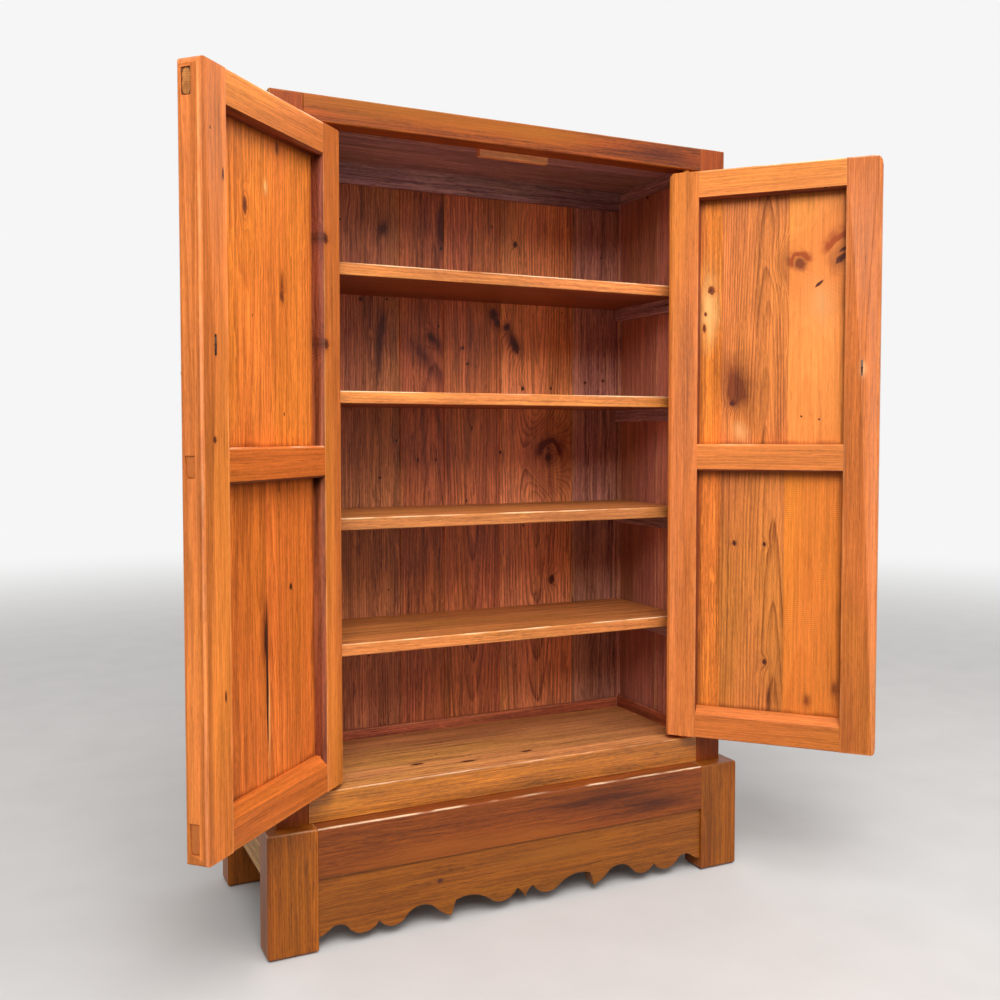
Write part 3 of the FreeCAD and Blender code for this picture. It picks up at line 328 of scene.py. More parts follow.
class Graph:
    """Short ways to add and join nodes in one node tree."""

    MIX_FACTOR, MIX_FIRST, MIX_SECOND, MIX_RESULT = 0, 6, 7, 2

    def __init__(self, tree: bpy.types.NodeTree) -> None:
        """Keep the tree that nodes go into."""
        self.tree = tree

    @classmethod
    def bare(cls, owner: Union[bpy.types.Material, bpy.types.World]) -> "Graph":
        """Graph of a material or a world, without its first nodes.

        Args:
            owner: whose nodes they are.

        Returns:
            The empty graph.
        """
        owner.use_nodes = True
        owner.node_tree.nodes.clear()
        return cls(owner.node_tree)

    def feed(self, socket: bpy.types.NodeSocket, value: Value) -> None:
        """Link an input to a signal, or set its own value.

        Args:
            socket: the input.
            value: what it gets.
        """
        if isinstance(value, Signal):
            self.tree.links.new(value.socket, socket)
        else:
            socket.default_value = value

    def add(self, kind: str, inputs: Union[dict, Sequence] = (), **settings: object) -> bpy.types.Node:
        """Add a node, set it and feed its inputs.

        Args:
            kind: the node's type, without the beginning that all have.
            inputs: what goes in, by name or number, or in order.
            settings: properties to set on the node.

        Returns:
            The new node.
        """
        node = self.tree.nodes.new("ShaderNode" + kind)
        for name, setting in settings.items():
            setattr(node, name, setting)
        for key, value in inputs.items() if isinstance(inputs, dict) else enumerate(inputs):
            self.feed(node.inputs[key], value)
        return node

    def outputs(self, node: bpy.types.Node) -> list[Signal]:
        """Every output of a node."""
        return [Signal(self, socket) for socket in node.outputs]

    def get(
        self, kind: str, inputs: Union[dict, Sequence] = (), output: Union[int, str] = 0, **settings: object
    ) -> Signal:
        """One output of a new node, which is added with these inputs and settings."""
        return Signal(self, self.add(kind, inputs, **settings).outputs[output])

    def maths(self, operation: str, *values: Value, clamp: bool = False) -> Signal:
        """Result of a math node, kept between 0 and 1 if asked."""
        return self.get("Math", values, operation=operation, use_clamp=clamp)

    def vector(self, operation: str, *values: Value, output: str = "Vector") -> Signal:
        """Result of a vector math node."""
        return self.get("VectorMath", values, output, operation=operation)

    def split(self, vector: Signal) -> list[Signal]:
        """The three parts of a vector."""
        return self.outputs(self.add("SeparateXYZ", (vector,)))

    def join(self, *parts: Value) -> Signal:
        """Vector made of three parts."""
        return self.get("CombineXYZ", parts)

    def noise(self, place: Signal, stretch: Place, detail: float = 2.0, output: str = "Fac") -> Signal:
        """Noise over a place that is first stretched along its three axes.

        Args:
            place: the place.
            stretch: features per metre along each axis.
            detail: octaves of finer noise.
            output: which output of the node is asked for.

        Returns:
            The noise.
        """
        node = self.add("TexNoise", {"Scale": 1.0, "Detail": detail})
        self.feed(node.inputs["Vector"], self.vector("MULTIPLY", place, stretch))
        return Signal(self, node.outputs[output])

    def centred(self, place: Signal, stretch: Place, detail: float = 2.0) -> Signal:
        """Noise shifted to lie about zero."""
        return self.noise(place, stretch, detail) - 0.5

    def fade(self, value: Value, start: Value, end: Value) -> Signal:
        """Smooth step from 0 at start to 1 at end."""
        return self.get("MapRange", (value, start, end), interpolation_type="SMOOTHSTEP")

    def patches(self, place: Signal, kind: Patches) -> Signal:
        """Mask of one kind of patches."""
        return self.fade(self.noise(place, kind.stretch, kind.detail), kind.start, kind.full)

    def ramp(self, value: Signal, stops: Sequence[Span]) -> Signal:
        """Grey value read off a ramp.

        Args:
            value: where to read it.
            stops: position and level of each stop.

        Returns:
            The level.
        """
        node = self.add("ValToRGB", (value,))
        elements = node.color_ramp.elements
        while len(elements) < len(stops):
            elements.new(1.0)
        for element, (position, level) in zip(elements, stops):
            element.position = position
            element.color = (level, level, level, 1.0)
        return Signal(self, node.outputs["Color"])

    def mix(self, factor: Value, first: Value, second: Value, blend: str = "MIX") -> Signal:
        """Colour mixed from two colours.

        Args:
            factor: share of the second colour.
            first: colour or signal.
            second: colour or signal.
            blend: how the second colour acts on the first.

        Returns:
            The mixed colour.
        """
        inputs = {self.MIX_FACTOR: factor}
        for key, value in ((self.MIX_FIRST, first), (self.MIX_SECOND, second)):
            inputs[key] = (*value, 1.0) if isinstance(value, tuple) else value
        return self.get("Mix", inputs, self.MIX_RESULT, data_type="RGBA", blend_type=blend)

    def place(self) -> Signal:
        """Place in the piece that has the material."""
        return self.get("TexCoord", output="Object")

    def laid(self, axes: Matrix, middle: Vector) -> Signal:
        """Place counted along the rows of a matrix.

        Args:
            axes: the rows.
            middle: where counting starts, in these rows.

        Returns:
            The place.
        """
        node = self.add("Mapping", {"Rotation": axes.to_euler(), "Location": -middle})
        self.feed(node.inputs["Vector"], self.place())
        return Signal(self, node.outputs["Vector"])

    def shade(self, colour: Signal, roughness: Signal, height: Signal, relief: Span, **more: float) -> None:
        """Join a surface with relief to the material's output.

        Args:
            colour: its colour.
            roughness: its roughness.
            height: height of its relief.
            relief: strength and depth of the relief.
            more: other inputs of the shader, with underscores for spaces.
        """
        strength, depth = relief
        normal = self.get("Bump", {"Strength": strength, "Distance": depth, "Height": height})
        inputs = {"Base Color": colour, "Roughness": roughness, "Normal": normal}
        inputs.update({name.replace("_", " "): value for name, value in more.items()})
        self.add("OutputMaterial", {"Surface": self.get("BsdfPrincipled", inputs)})


def node_group(
    name: str, inputs: dict[str, Sequence[str]], outputs: dict[str, Sequence[str]]
) -> tuple[Graph, SimpleNamespace, bpy.types.Node]:
    """Start a node group.

    Args:
        name: the group's name.
        inputs: names that go in, by kind of socket.
        outputs: names that come out, by kind of socket.

    Returns:
        Its graph, its inputs by name and its output node.
    """
    tree = bpy.data.node_groups.new(name, "ShaderNodeTree")
    for direction, kinds in (("INPUT", inputs), ("OUTPUT", outputs)):
        for kind, names in kinds.items():
            for socket in names:
                tree.interface.new_socket(name=socket, in_out=direction, socket_type="NodeSocket" + kind)
    graph = Graph(tree)
    source = tree.nodes.new("NodeGroupInput")
    given = {socket.name: Signal(graph, socket) for socket in source.outputs if socket.name}
    return graph, SimpleNamespace(**given), tree.nodes.new("NodeGroupOutput")


TRACES = ("swell", "mask", "stain", "arc")


class PineMark:
    """Node group of one placed mark, which adds to the traces of the marks before it."""

    RIPPLE = (1.1, 1.1, 0.0)
    RIPPLE_DEPTH = 1.1
    RIPPLE_DETAIL = 4.0
    HALO = -0.28
    SWELL = 1.7
    RIM_AT = 0.9
    RIM_OUTSIDE = 2.4
    RIM_INSIDE = -9.0
    RIM_TOP = (-0.3, 0.4)
    WITHIN = (0.95, 0.4)
    WITHIN_SHARE = 0.22
    SOFTNESS = -0.9

    def __init__(self) -> None:
        """Make the group."""
        inputs = {"Vector": ("place",), "Float": ("radius", "core", "rim", "blush", *TRACES)}
        graph, given, out = node_group("pine_knot", inputs, {"Float": TRACES})
        self.tree = graph.tree
        x, y, _ = graph.split(given.place)
        ripple = graph.centred(given.place, self.RIPPLE, self.RIPPLE_DETAIL) * self.RIPPLE_DEPTH
        squares = x * x + y * y
        bent = graph.maths("SQRT", squares) + ripple
        solid = (given.core + given.rim) * given.radius
        halo = graph.maths("EXPONENT", squares * self.HALO)
        graph.feed(out.inputs["swell"], given.swell + halo * solid * self.SWELL)
        core = graph.maths("SUBTRACT", 1.0, bent, clamp=True) * given.core
        graph.feed(out.inputs["mask"], graph.maths("MAXIMUM", given.mask, core))
        off_rim = bent - self.RIM_AT
        off_rim = graph.maths("MAXIMUM", off_rim * self.RIM_OUTSIDE, off_rim * self.RIM_INSIDE)
        line = graph.maths("EXPONENT", off_rim * off_rim * -1.0)
        graph.feed(out.inputs["arc"], given.arc + line * graph.fade(x, *self.RIM_TOP) * given.rim)
        within = graph.fade(bent, *self.WITHIN) * (given.rim * self.WITHIN_SHARE)
        soft = graph.maths("EXPONENT", bent * bent * self.SOFTNESS)
        graph.feed(out.inputs["stain"], soft.times(given.blush, plus=given.stain) + within)


@dataclass(frozen=True)
class Specks:
    """Small marks strewn over boards by chance, one in each cell that has the luck."""

    cells: Span
    seeds: Span
    stretch: float
    least: float
    spread: float


class PineBoard:
    """Node group of one sawn board: growth rings round a pith, fibres, knots, holes, worn edges, and painted
    highlight and shade.
    """

    COLOURS = ("early", "late", "knot", "worn", "glow")
    LEVELS = (
        "contrast", "streak", "lines", "saw", "patch", "wear", "grime", "glint", "knot_chance", "holes",
        "roughness",
    )
    SEED_SHIFT = (1.37, 2.11, 0.73)
    GREY = (0.5, 0.5, 0.5)
    WANDER = (1.3, 6.0, 6.0)
    WANDER_DEPTH = 0.020
    WOBBLE = (9.0, 60.0, 60.0)
    WOBBLE_DEPTH = 0.0026
    RING_PROFILE = ((0.0, 0.05), (0.45, 0.14), (0.80, 0.72), (0.92, 1.0), (1.0, 0.05))
    RING_VIGOUR = (0.6, 0.4)
    KNOTS = Specks((3.0, 6.5), (1.0, 1.7), 1 / 0.62, 0.003, 0.008)
    KNOT_HALO = -0.3
    KNOT_SWELL = 1.8
    KNOT_RIM = 0.3
    KNOT_DIP = 0.2
    KNOT_HEART = ((0.0, 0.55), (0.12, 0.45), (0.3, 1.3), (0.45, 0.8), (0.6, 1.2), (0.75, 0.7), (1.0, 0.3))
    HOLES = Specks((9.0, 24.0), (2.3, 3.1), 1.9, 0.0007, 0.0014)
    HOLE_RIM = 0.6
    HOLE_DARK = 0.92
    HOLE_COLOUR = (0.012, 0.006, 0.004)
    FIBRES = ((12.0, 430.0, 430.0), 3.0)
    STREAKS = ((2.2, 110.0, 110.0), 4.0)
    BLOTCHES = ((3.0, 9.0, 9.0), 3.0)
    GRIT = (120.0, 560.0, 560.0)
    FIBRE_TONE = (1.3, 0.4)
    STREAK_TONE = 1.9
    BLOTCH_TONE = 0.7
    SAW_TEETH = 2200.0
    SAW_WANDER = 3.0
    SAWN = Patches((16.0, 28.0, 28.0), 0.54, 0.66)
    DRIFT = Patches((2.2, 11.0, 11.0), 0.42, 0.7)
    DRIFT_SHARE = 0.6
    DRIFT_TINT = (0.94, 1.12, 0.62)
    WAVE = ((16.0, 26.0, 26.0), 3.0)
    WAVE_DEPTH = (0.0, 0.012, 0.012)
    BRIGHT_LINES = Patches((7.0, 300.0, 300.0), 0.53, 0.64, 3.0)
    BRIGHT_TINT = (1.6, 1.78, 1.35)
    DARK_LINES = Patches((5.0, 260.0, 260.0), 0.43, 0.33, 4.0)
    DARK_TINT = (0.68, 0.62, 0.9)
    FLECKS = Patches((40.0, 480.0, 480.0), 0.60, 0.70)
    FLECK_SHARE = 0.75
    FLECK_TINT = (0.42, 0.34, 0.3)
    POOLS = Patches((2.4, 17.0, 17.0), 0.5, 0.72, 4.0)
    POOL_TINT = (0.30, 0.22, 0.2)
    AROUND = (0.0015, 0.014)
    AROUND_SHARE = 0.4
    ARC_SHARE = 0.85
    ARC_TINT = (0.60, 0.42, 0.40)
    STAIN_SHARE = 0.8
    STAIN_TINT = (0.28, 0.20, 0.25)
    RUBBED = Patches((22.0, 22.0, 22.0), 0.36, 0.62)
    ARRIS = (0.0008, 0.0042)
    # Painted highlight along the upper arris.
    GLINT_RAGGED = (60.0, 60.0, 60.0)
    GLINT_DEPTH = 0.0022
    GLINT_EDGE = (0.0024, 0.0006)
    GLINTS = Patches((15.0, 15.0, 15.0), 0.38, 0.62)
    # Painted shade along the borders and below the top edge, with grime.
    GRIME_RAGGED = (14.0, 30.0, 30.0)
    GRIME_DEPTH = 0.014
    GRIME_BORDER = (0.014, 0.005)
    GRIME_TOP = (0.016, 0.006)
    GRIME_TINT = (0.28, 0.22, 0.2)
    ROUGHER = {"blotch": 0.22, "fibre": 0.20, "rubbed": 0.15, "grime": 0.12}
    LEAST_ROUGH = 0.2
    RELIEF = {"fibre": 0.5, "late": 0.5, "streak": 0.4, "holes": -2.0, "dip": -0.5}

    def __init__(self) -> None:
        """Make the group, from the wood itself to what age has left on it and the painted highlight and shade."""
        inputs = {
            "Vector": ("place", "half", "pith", "up"),
            "Float": ("seed", "ring", *TRACES, *self.LEVELS),
            "Color": self.COLOURS,
        }
        outputs = {"Color": ("colour",), "Float": ("roughness", "height")}
        graph, given, out = node_group("pine_board", inputs, outputs)
        self.graph, self.given, self.tree = graph, given, graph.tree
        self.u, self.v, self.w = graph.split(given.place)
        self.pith = graph.split(given.pith)
        shift = graph.vector("MULTIPLY", self.SEED_SHIFT, given.seed)
        self.place = graph.vector("ADD", given.place, shift)
        self._rings()
        self._fibres()
        self._lines()
        self._marks()
        self._edges()
        graph.feed(out.inputs["colour"], self.colour)
        rough = self._weighed(given.roughness, self.ROUGHER)
        graph.feed(out.inputs["roughness"], graph.maths("MAXIMUM", rough, self.LEAST_ROUGH))
        graph.feed(out.inputs["height"], self._weighed(0.0, self.RELIEF))

    def _weighed(self, start: Value, shares: dict[str, float]) -> Value:
        """Value with shares of the board's patterns added.

        Args:
            start: the value.
            shares: share of each pattern, by its name here.

        Returns:
            The sum.
        """
        for name, share in shares.items():
            start = getattr(self, name).times(share, plus=start)
        return start

    def _lay(self, mask: Signal, colour: Value) -> None:
        """Lay a colour on the wood where a mask says."""
        self.colour = self.graph.mix(mask, self.colour, colour)

    def _tint(self, mask: Signal, tint: Colour, base: Union[Signal, None] = None) -> None:
        """Lay the wood's own colour, or a base colour, on the wood in a tint where a mask says."""
        self._lay(mask, self.graph.mix(1.0, base or self.colour, tint, "MULTIPLY"))

    def _strewn(self, kind: Specks) -> tuple[Signal, Signal, Signal]:
        """Specks strewn over the board.

        Args:
            kind: the kind of specks.

        Returns:
            Distance to the nearest one's middle, then two numbers that it has by chance.
        """
        graph = self.graph
        (per_u, per_v), (seed_u, seed_v) = kind.cells, kind.seeds
        along = self.u.times(per_u, plus=self.given.seed * seed_u)
        across = self.v.times(per_v, plus=self.given.seed * seed_v)
        cells = graph.join(along, across, 0.0)
        speck = graph.add("TexVoronoi", {"Vector": cells, "Scale": 1.0}, voronoi_dimensions="2D")
        offset = graph.vector("SUBTRACT", cells, Signal(graph, speck.outputs["Position"]))
        metres = graph.vector("DIVIDE", offset, (per_u * kind.stretch, per_v, 1.0))
        luck, size, _ = graph.split(Signal(graph, speck.outputs["Color"]))
        return graph.vector("LENGTH", metres, output="Value"), luck, size

    def _chance_knots(self) -> tuple[Signal, Signal]:
        """Small knots strewn over the board.

        Returns:
            The swell that they give the rings, and their mask.
        """
        graph = self.graph
        away, luck, size = self._strewn(self.KNOTS)
        present = graph.maths("LESS_THAN", luck, self.given.knot_chance)
        radius = (size * size).times(self.KNOTS.spread, plus=self.KNOTS.least)
        distance = away / radius
        halo = graph.maths("EXPONENT", distance * distance * self.KNOT_HALO)
        swell = halo * radius * (present * self.KNOT_SWELL)
        return swell, graph.maths("SUBTRACT", 1.0, distance, clamp=True) * present

    def _nail_holes(self) -> Signal:
        """Mask of old nail and worm holes strewn over the board.

        Returns:
            The mask.
        """
        away, luck, size = self._strewn(self.HOLES)
        radius = size.times(self.HOLES.spread, plus=self.HOLES.least)
        inside = 1.0 - self.graph.fade(away, radius * self.HOLE_RIM, radius)
        return inside * self.graph.maths("LESS_THAN", luck, self.given.holes)

    def _rings(self) -> None:
        """Find the growth rings about the pith, which swell round knots."""
        graph, given = self.graph, self.given
        tilt, pith_v, pith_w = self.pith
        wander = graph.vector("SUBTRACT", graph.noise(self.place, self.WANDER, output="Color"), self.GREY)
        wander_v, wander_w, _ = graph.split(wander)
        off_v = wander_v.times(self.WANDER_DEPTH, plus=self.v) - pith_v
        level_w = tilt.times(self.u, plus=pith_w)
        off_w = wander_w.times(self.WANDER_DEPTH, plus=self.w) - level_w
        squares = off_v * off_v + off_w * off_w
        chance_swell, self.chance_mask = self._chance_knots()
        self.swell = given.swell + chance_swell
        wobble = graph.centred(self.place, self.WOBBLE) * self.WOBBLE_DEPTH
        count = (graph.maths("SQRT", squares) + self.swell + wobble) / given.ring
        number = graph.maths("FLOOR", count) + given.seed
        dice = graph.get("TexWhiteNoise", {"W": number}, "Value", noise_dimensions="1D")
        profile = graph.ramp(graph.maths("FRACT", count), self.RING_PROFILE)
        share, base = self.RING_VIGOUR
        self.late = profile * (dice.times(share, plus=base) * given.contrast)

    def _fibres(self) -> None:
        """Colour the rings, with fibres, streaks, blotches and saw marks in their tone."""
        graph, given, place = self.graph, self.given, self.place
        self.fibre = graph.centred(place, *self.FIBRES)
        self.streak = graph.centred(place, *self.STREAKS)
        self.blotch = graph.centred(place, *self.BLOTCHES)
        share, base = self.FIBRE_TONE
        tone = self.fibre.times(given.streak.times(share, plus=base), plus=1.0)
        tone = self.streak.times(given.streak * self.STREAK_TONE, plus=tone)
        tone = self.blotch.times(self.BLOTCH_TONE, plus=tone)
        tone = graph.centred(place, self.GRIT).times(given.streak, plus=tone)
        teeth = graph.maths("SINE", self.streak.times(self.SAW_WANDER, plus=self.u * self.SAW_TEETH))
        tone = tone + teeth * graph.patches(place, self.SAWN) * given.saw
        self.colour = graph.mix(self.late, given.early, given.late)
        self.colour = graph.mix(1.0, self.colour, graph.join(tone, tone, tone), "MULTIPLY")

    def _lines(self) -> None:
        """Lay drifts of colour, bright and dark lines, flecks and pooled stain on the wood."""
        graph, given, place = self.graph, self.given, self.place
        self._tint(graph.patches(place, self.DRIFT) * self.DRIFT_SHARE, self.DRIFT_TINT)
        wave = graph.vector("SUBTRACT", graph.noise(place, *self.WAVE, output="Color"), self.GREY)
        flow = graph.vector("ADD", place, graph.vector("MULTIPLY", wave, self.WAVE_DEPTH))
        self._tint(graph.patches(flow, self.BRIGHT_LINES) * given.lines, self.BRIGHT_TINT, given.early)
        self._tint(graph.patches(flow, self.DARK_LINES) * given.lines, self.DARK_TINT, given.late)
        self._tint(graph.patches(place, self.FLECKS) * (given.streak * self.FLECK_SHARE), self.FLECK_TINT)
        self._tint(graph.patches(place, self.POOLS) * given.patch, self.POOL_TINT)

    def _marks(self) -> None:
        """Lay stains, knots and holes on the wood."""
        graph, given = self.graph, self.given
        self._lay(graph.fade(self.swell, *self.AROUND) * self.AROUND_SHARE, given.late)
        self._tint(graph.maths("MULTIPLY", given.arc, self.ARC_SHARE, clamp=True), self.ARC_TINT, given.late)
        self._tint(graph.maths("MULTIPLY", given.stain, self.STAIN_SHARE, clamp=True), self.STAIN_TINT)
        self._lay(graph.maths("MULTIPLY", given.stain, -self.STAIN_SHARE, clamp=True), given.worn)
        mask = graph.maths("MAXIMUM", given.mask, self.chance_mask)
        knot = graph.mix(1.0, given.knot, graph.ramp(mask, self.KNOT_HEART), "MULTIPLY")
        self._lay(graph.fade(mask, 0.0, self.KNOT_RIM), knot)
        self.dip = graph.fade(mask, 0.0, self.KNOT_DIP)
        self.holes = self._nail_holes()
        self._lay(self.holes * self.HOLE_DARK, self.HOLE_COLOUR)

    def _edges(self) -> None:
        """Lay worn arrises, a painted highlight along the upper arris, and painted shade with grime along the
        borders and below the top, on the wood.
        """
        graph, given, place = self.graph, self.given, self.place
        gaps = graph.vector("SUBTRACT", given.half, graph.vector("ABSOLUTE", given.place))
        a, b, c = graph.split(gaps)
        border = graph.maths("MINIMUM", a, b)
        inner = graph.maths("MINIMUM", graph.maths("MAXIMUM", a, b), c)
        patchy = graph.patches(place, self.RUBBED)
        near = 1.0 - graph.fade(graph.maths("MAXIMUM", border, inner), *self.ARRIS)
        self.rubbed = near * patchy * given.wear
        self._lay(self.rubbed, given.worn)
        # Painted highlight: the glow colour laid in a ragged line along the upper arris.
        top = graph.vector("DOT_PRODUCT", given.half, graph.vector("ABSOLUTE", given.up), output="Value")
        below = top - graph.vector("DOT_PRODUCT", given.place, given.up, output="Value")
        ragged = graph.centred(place, self.GLINT_RAGGED).times(self.GLINT_DEPTH, plus=below)
        glint = graph.fade(ragged, *self.GLINT_EDGE) * graph.patches(place, self.GLINTS) * given.glint
        self._lay(glint * near, given.glow)
        # Painted shade, with grime: darker along the borders and a painted shadow below the top edge.
        ragged = graph.centred(place, self.GRIME_RAGGED).times(self.GRIME_DEPTH, plus=border)
        along, over = graph.fade(ragged, *self.GRIME_BORDER), graph.fade(below, *self.GRIME_TOP)
        self.grime = graph.maths("MAXIMUM", along, over) * given.grime
        self._tint(self.grime, self.GRIME_TINT)


MARK_TREE = PineMark().tree
BOARD_TREE = PineBoard().tree


def corners(points: Iterable[Vector]) -> tuple[Vector, Vector]:
    """Low and high corner of the box round some points."""
    columns = list(zip(*points))
    return Vector(min(column) for column in columns), Vector(max(column) for column in columns)


def paint_faces(piece: bpy.types.Object, material: bpy.types.Material, chosen: Chooser) -> None:
    """Give some faces of a piece another material.

    Args:
        piece: the piece.
        material: the other material.
        chosen: whether a face, given by its middle and its normal, gets it.
    """
    last = len(piece.data.materials)
    piece.data.materials.append(material)
    for polygon in piece.data.polygons:
        if chosen(polygon.center, polygon.normal):
            polygon.material_index = last


@dataclass
class Timber:
    """One sawn board: how its grain runs, how it is finished and what marks it has."""

    TONES: ClassVar[Span] = (0.93, 1.07)
    SEEDS: ClassVar[Span] = (0.0, 40.0)
    RING_SPREAD: ClassVar[Span] = (0.85, 1.2)
    MARK_REACH: ClassVar[float] = 1.5
    RELIEF: ClassVar[Span] = (0.5, 0.0006)
    COAT_ROUGHNESS: ClassVar[float] = 0.25
    name: str
    axes: Matrix
    finish: PineFinish
    marks: Sequence[Placed] = ()
    extent: Union[bpy.types.Mesh, None] = None

    def __post_init__(self) -> None:
        """Draw the board's place in its log from its name."""
        self.pith = self.finish.cut.pith(random.Random(self.name))

    def dress(self, piece: bpy.types.Object) -> None:
        """Give a whole piece the board's material."""
        piece.data.materials.clear()
        piece.data.materials.append(self._material(piece, self.finish, self.name))

    def stain(self, piece: bpy.types.Object, tag: str, finish: PineFinish, chosen: Chooser) -> None:
        """Give some faces of a dressed piece another stain over the same grain.

        Args:
            piece: the dressed piece.
            tag: word for the material's name.
            finish: the other stain.
            chosen: whether a face, given by its middle and its normal, is stained.
        """
        if any(chosen(polygon.center, polygon.normal) for polygon in piece.data.polygons):
            paint_faces(piece, self._material(piece, finish, f"{self.name}_{tag}"), chosen)

    def _material(self, piece: bpy.types.Object, finish: PineFinish, name: str) -> bpy.types.Material:
        """Material of the board.

        Args:
            piece: the mesh object that takes it.
            finish: the stain.
            name: the material's name after the wood.

        Returns:
            The new material.
        """
        rng = random.Random(self.name)
        low, high = corners(self.axes @ vertex.co for vertex in (self.extent or piece.data).vertices)
        middle = (low + high) / 2
        material = bpy.data.materials.new("pine_" + name)
        graph = Graph.bare(material)
        place = graph.laid(self.axes, middle)
        board = graph.add("Group", node_tree=BOARD_TREE)
        fed = dict(zip(TRACES, self._traces(graph, place, piece, middle)))
        tone = rng.uniform(*self.TONES)
        strength = {"early": tone, "late": tone}
        fed.update(place=place, half=(high - low) / 2, pith=self.pith, up=self.axes @ UP)
        fed["seed"] = rng.uniform(*self.SEEDS)
        fed["ring"] = finish.ring * rng.uniform(*self.RING_SPREAD)
        for level in PineBoard.LEVELS:
            fed[level] = getattr(finish, level)
        for colour in PineBoard.COLOURS:
            fed[colour] = (*(strength.get(colour, 1.0) * part for part in getattr(finish, colour)), 1.0)
        for socket, value in fed.items():
            graph.feed(board.inputs[socket], value)
        graph.shade(
            *graph.outputs(board),
            self.RELIEF,
            Specular_IOR_Level=finish.gloss,
            Coat_Weight=finish.coat,
            Coat_Roughness=self.COAT_ROUGHNESS,
        )
        return material

    def _traces(
        self, graph: Graph, place: Signal, piece: bpy.types.Object, middle: Vector
    ) -> Sequence[Value]:
        """What the marks on a piece leave on it.

        Args:
            graph: where the nodes go.
            place: place on the board.
            piece: the piece; marks beyond its reach are left out.
            middle: the board's middle, in its own rows.

        Returns:
            The swell of the rings, the mask of the knots, the stain and the arcs.
        """
        low, high = corners(self.axes @ vertex.co - middle for vertex in piece.data.vertices)
        traces = [0.0] * len(TRACES)
        for spot, mark in self.marks:
            local = self.axes @ spot - middle
            size = (mark.radius * mark.stretch, mark.radius, 1.0)
            reach = [self.MARK_REACH * part for part in size]
            if not all(low[i] - reach[i] < local[i] < high[i] + reach[i] for i in (0, 1)):
                continue
            inputs = {"Vector": place, "Location": local, "Rotation": (0.0, 0.0, mark.lean), "Scale": size}
            lie = graph.get("Mapping", inputs, vector_type="TEXTURE")
            branch = graph.add("Group", node_tree=MARK_TREE)
            for socket, value in zip(branch.inputs, (lie, mark.radius, *mark.kind.value, *traces)):
                graph.feed(socket, value)
            traces = graph.outputs(branch)
        return traces


@dataclass(frozen=True)
class EndGrain:
    """Worn end of a through tenon: a dark rounded ring of grime and painted shade from the gap round it, about a
    paler core.
    """

    RAGGED: ClassVar[tuple] = ((240.0, 240.0, 240.0), 3.0)
    RAGGED_DEPTH: ClassVar[float] = 0.0030
    BOW: ClassVar[float] = 40.0
    WANDER: ClassVar[Place] = (150.0, 150.0, 150.0)
    WANDER_DEPTH: ClassVar[float] = 0.003
    RING_SHARE: ClassVar[float] = 0.6
    BLOTCHES: ClassVar[Patches] = Patches((130.0, 90.0, 130.0), 0.42, 0.66, 3.0)
    BLOTCH_SHARE: ClassVar[float] = 0.55
    RELIEF: ClassVar[Span] = (0.6, 0.001)
    RING_RELIEF: ClassVar[float] = 0.15
    ROUGHNESS: ClassVar[Span] = (0.2, 0.6)
    GLOSS: ClassVar[float] = 0.2
    core: Colour = (0.55, 0.22, 0.055)
    shade: Colour = (0.26, 0.080, 0.020)
    # Colour of the dark ring: grime, with painted shade of the gap round the tenon.
    ring: Colour = (0.060, 0.022, 0.010)
    edge_tone: Colour = (0.54, 0.148, 0.031)
    corner: float = 0.0058
    edge: float = 0.0018
    full_edge: float = 0.2
    ring_pitch: float = 0.0026

    def material(
        self, name: str, axes: Matrix, middle: Vector, half: Sequence[float], shown: float
    ) -> bpy.types.Material:
        """Material of one tenon's end.

        Args:
            name: the material's name.
            axes: rows across, up and out of the end.
            middle: the centre of the end, in these rows.
            half: half its width and half its height.
            shown: how clearly it stands out from the stile's edge, 0 to 1.

        Returns:
            The new material.
        """
        material = bpy.data.materials.new(name)
        graph = Graph.bare(material)
        place = graph.laid(axes, middle)
        inset = [size - self.corner for size in half]
        over = graph.vector("SUBTRACT", graph.vector("ABSOLUTE", place), (*inset, 0.0))
        x, y, _ = graph.split(graph.vector("MAXIMUM", over, (0.0, 0.0, 0.0)))
        rounded = graph.maths("SQRT", x * x + y * y)
        ragged = graph.centred(place, *self.RAGGED).times(self.RAGGED_DEPTH, plus=rounded)
        # Dark ring round the end: grime, with painted shade of the gap round the tenon.
        grime_and_gap_shade = graph.fade(ragged, self.corner - self.edge, self.corner - self.full_edge * self.edge)
        u, v, _ = graph.split(place)
        bow = (u * u).times(self.BOW, plus=v)
        bow = graph.centred(place, self.WANDER).times(self.WANDER_DEPTH, plus=bow)
        rings = graph.maths("FRACT", bow / self.ring_pitch)
        colour = graph.mix(rings * self.RING_SHARE, self.core, self.shade)
        colour = graph.mix(graph.patches(place, self.BLOTCHES) * self.BLOTCH_SHARE, colour, self.shade)
        colour = graph.mix(grime_and_gap_shade, colour, self.ring)
        beyond = graph.fade(ragged, self.corner, self.corner + self.edge)
        colour = graph.mix(beyond, graph.mix(shown, self.edge_tone, colour), self.edge_tone)
        height = grime_and_gap_shade.times(-1.0, plus=rings * self.RING_RELIEF)
        share, base = self.ROUGHNESS
        roughness = grime_and_gap_shade.times(share, plus=base)
        graph.shade(colour, roughness, height, self.RELIEF, Specular_IOR_Level=self.GLOSS)
        return material


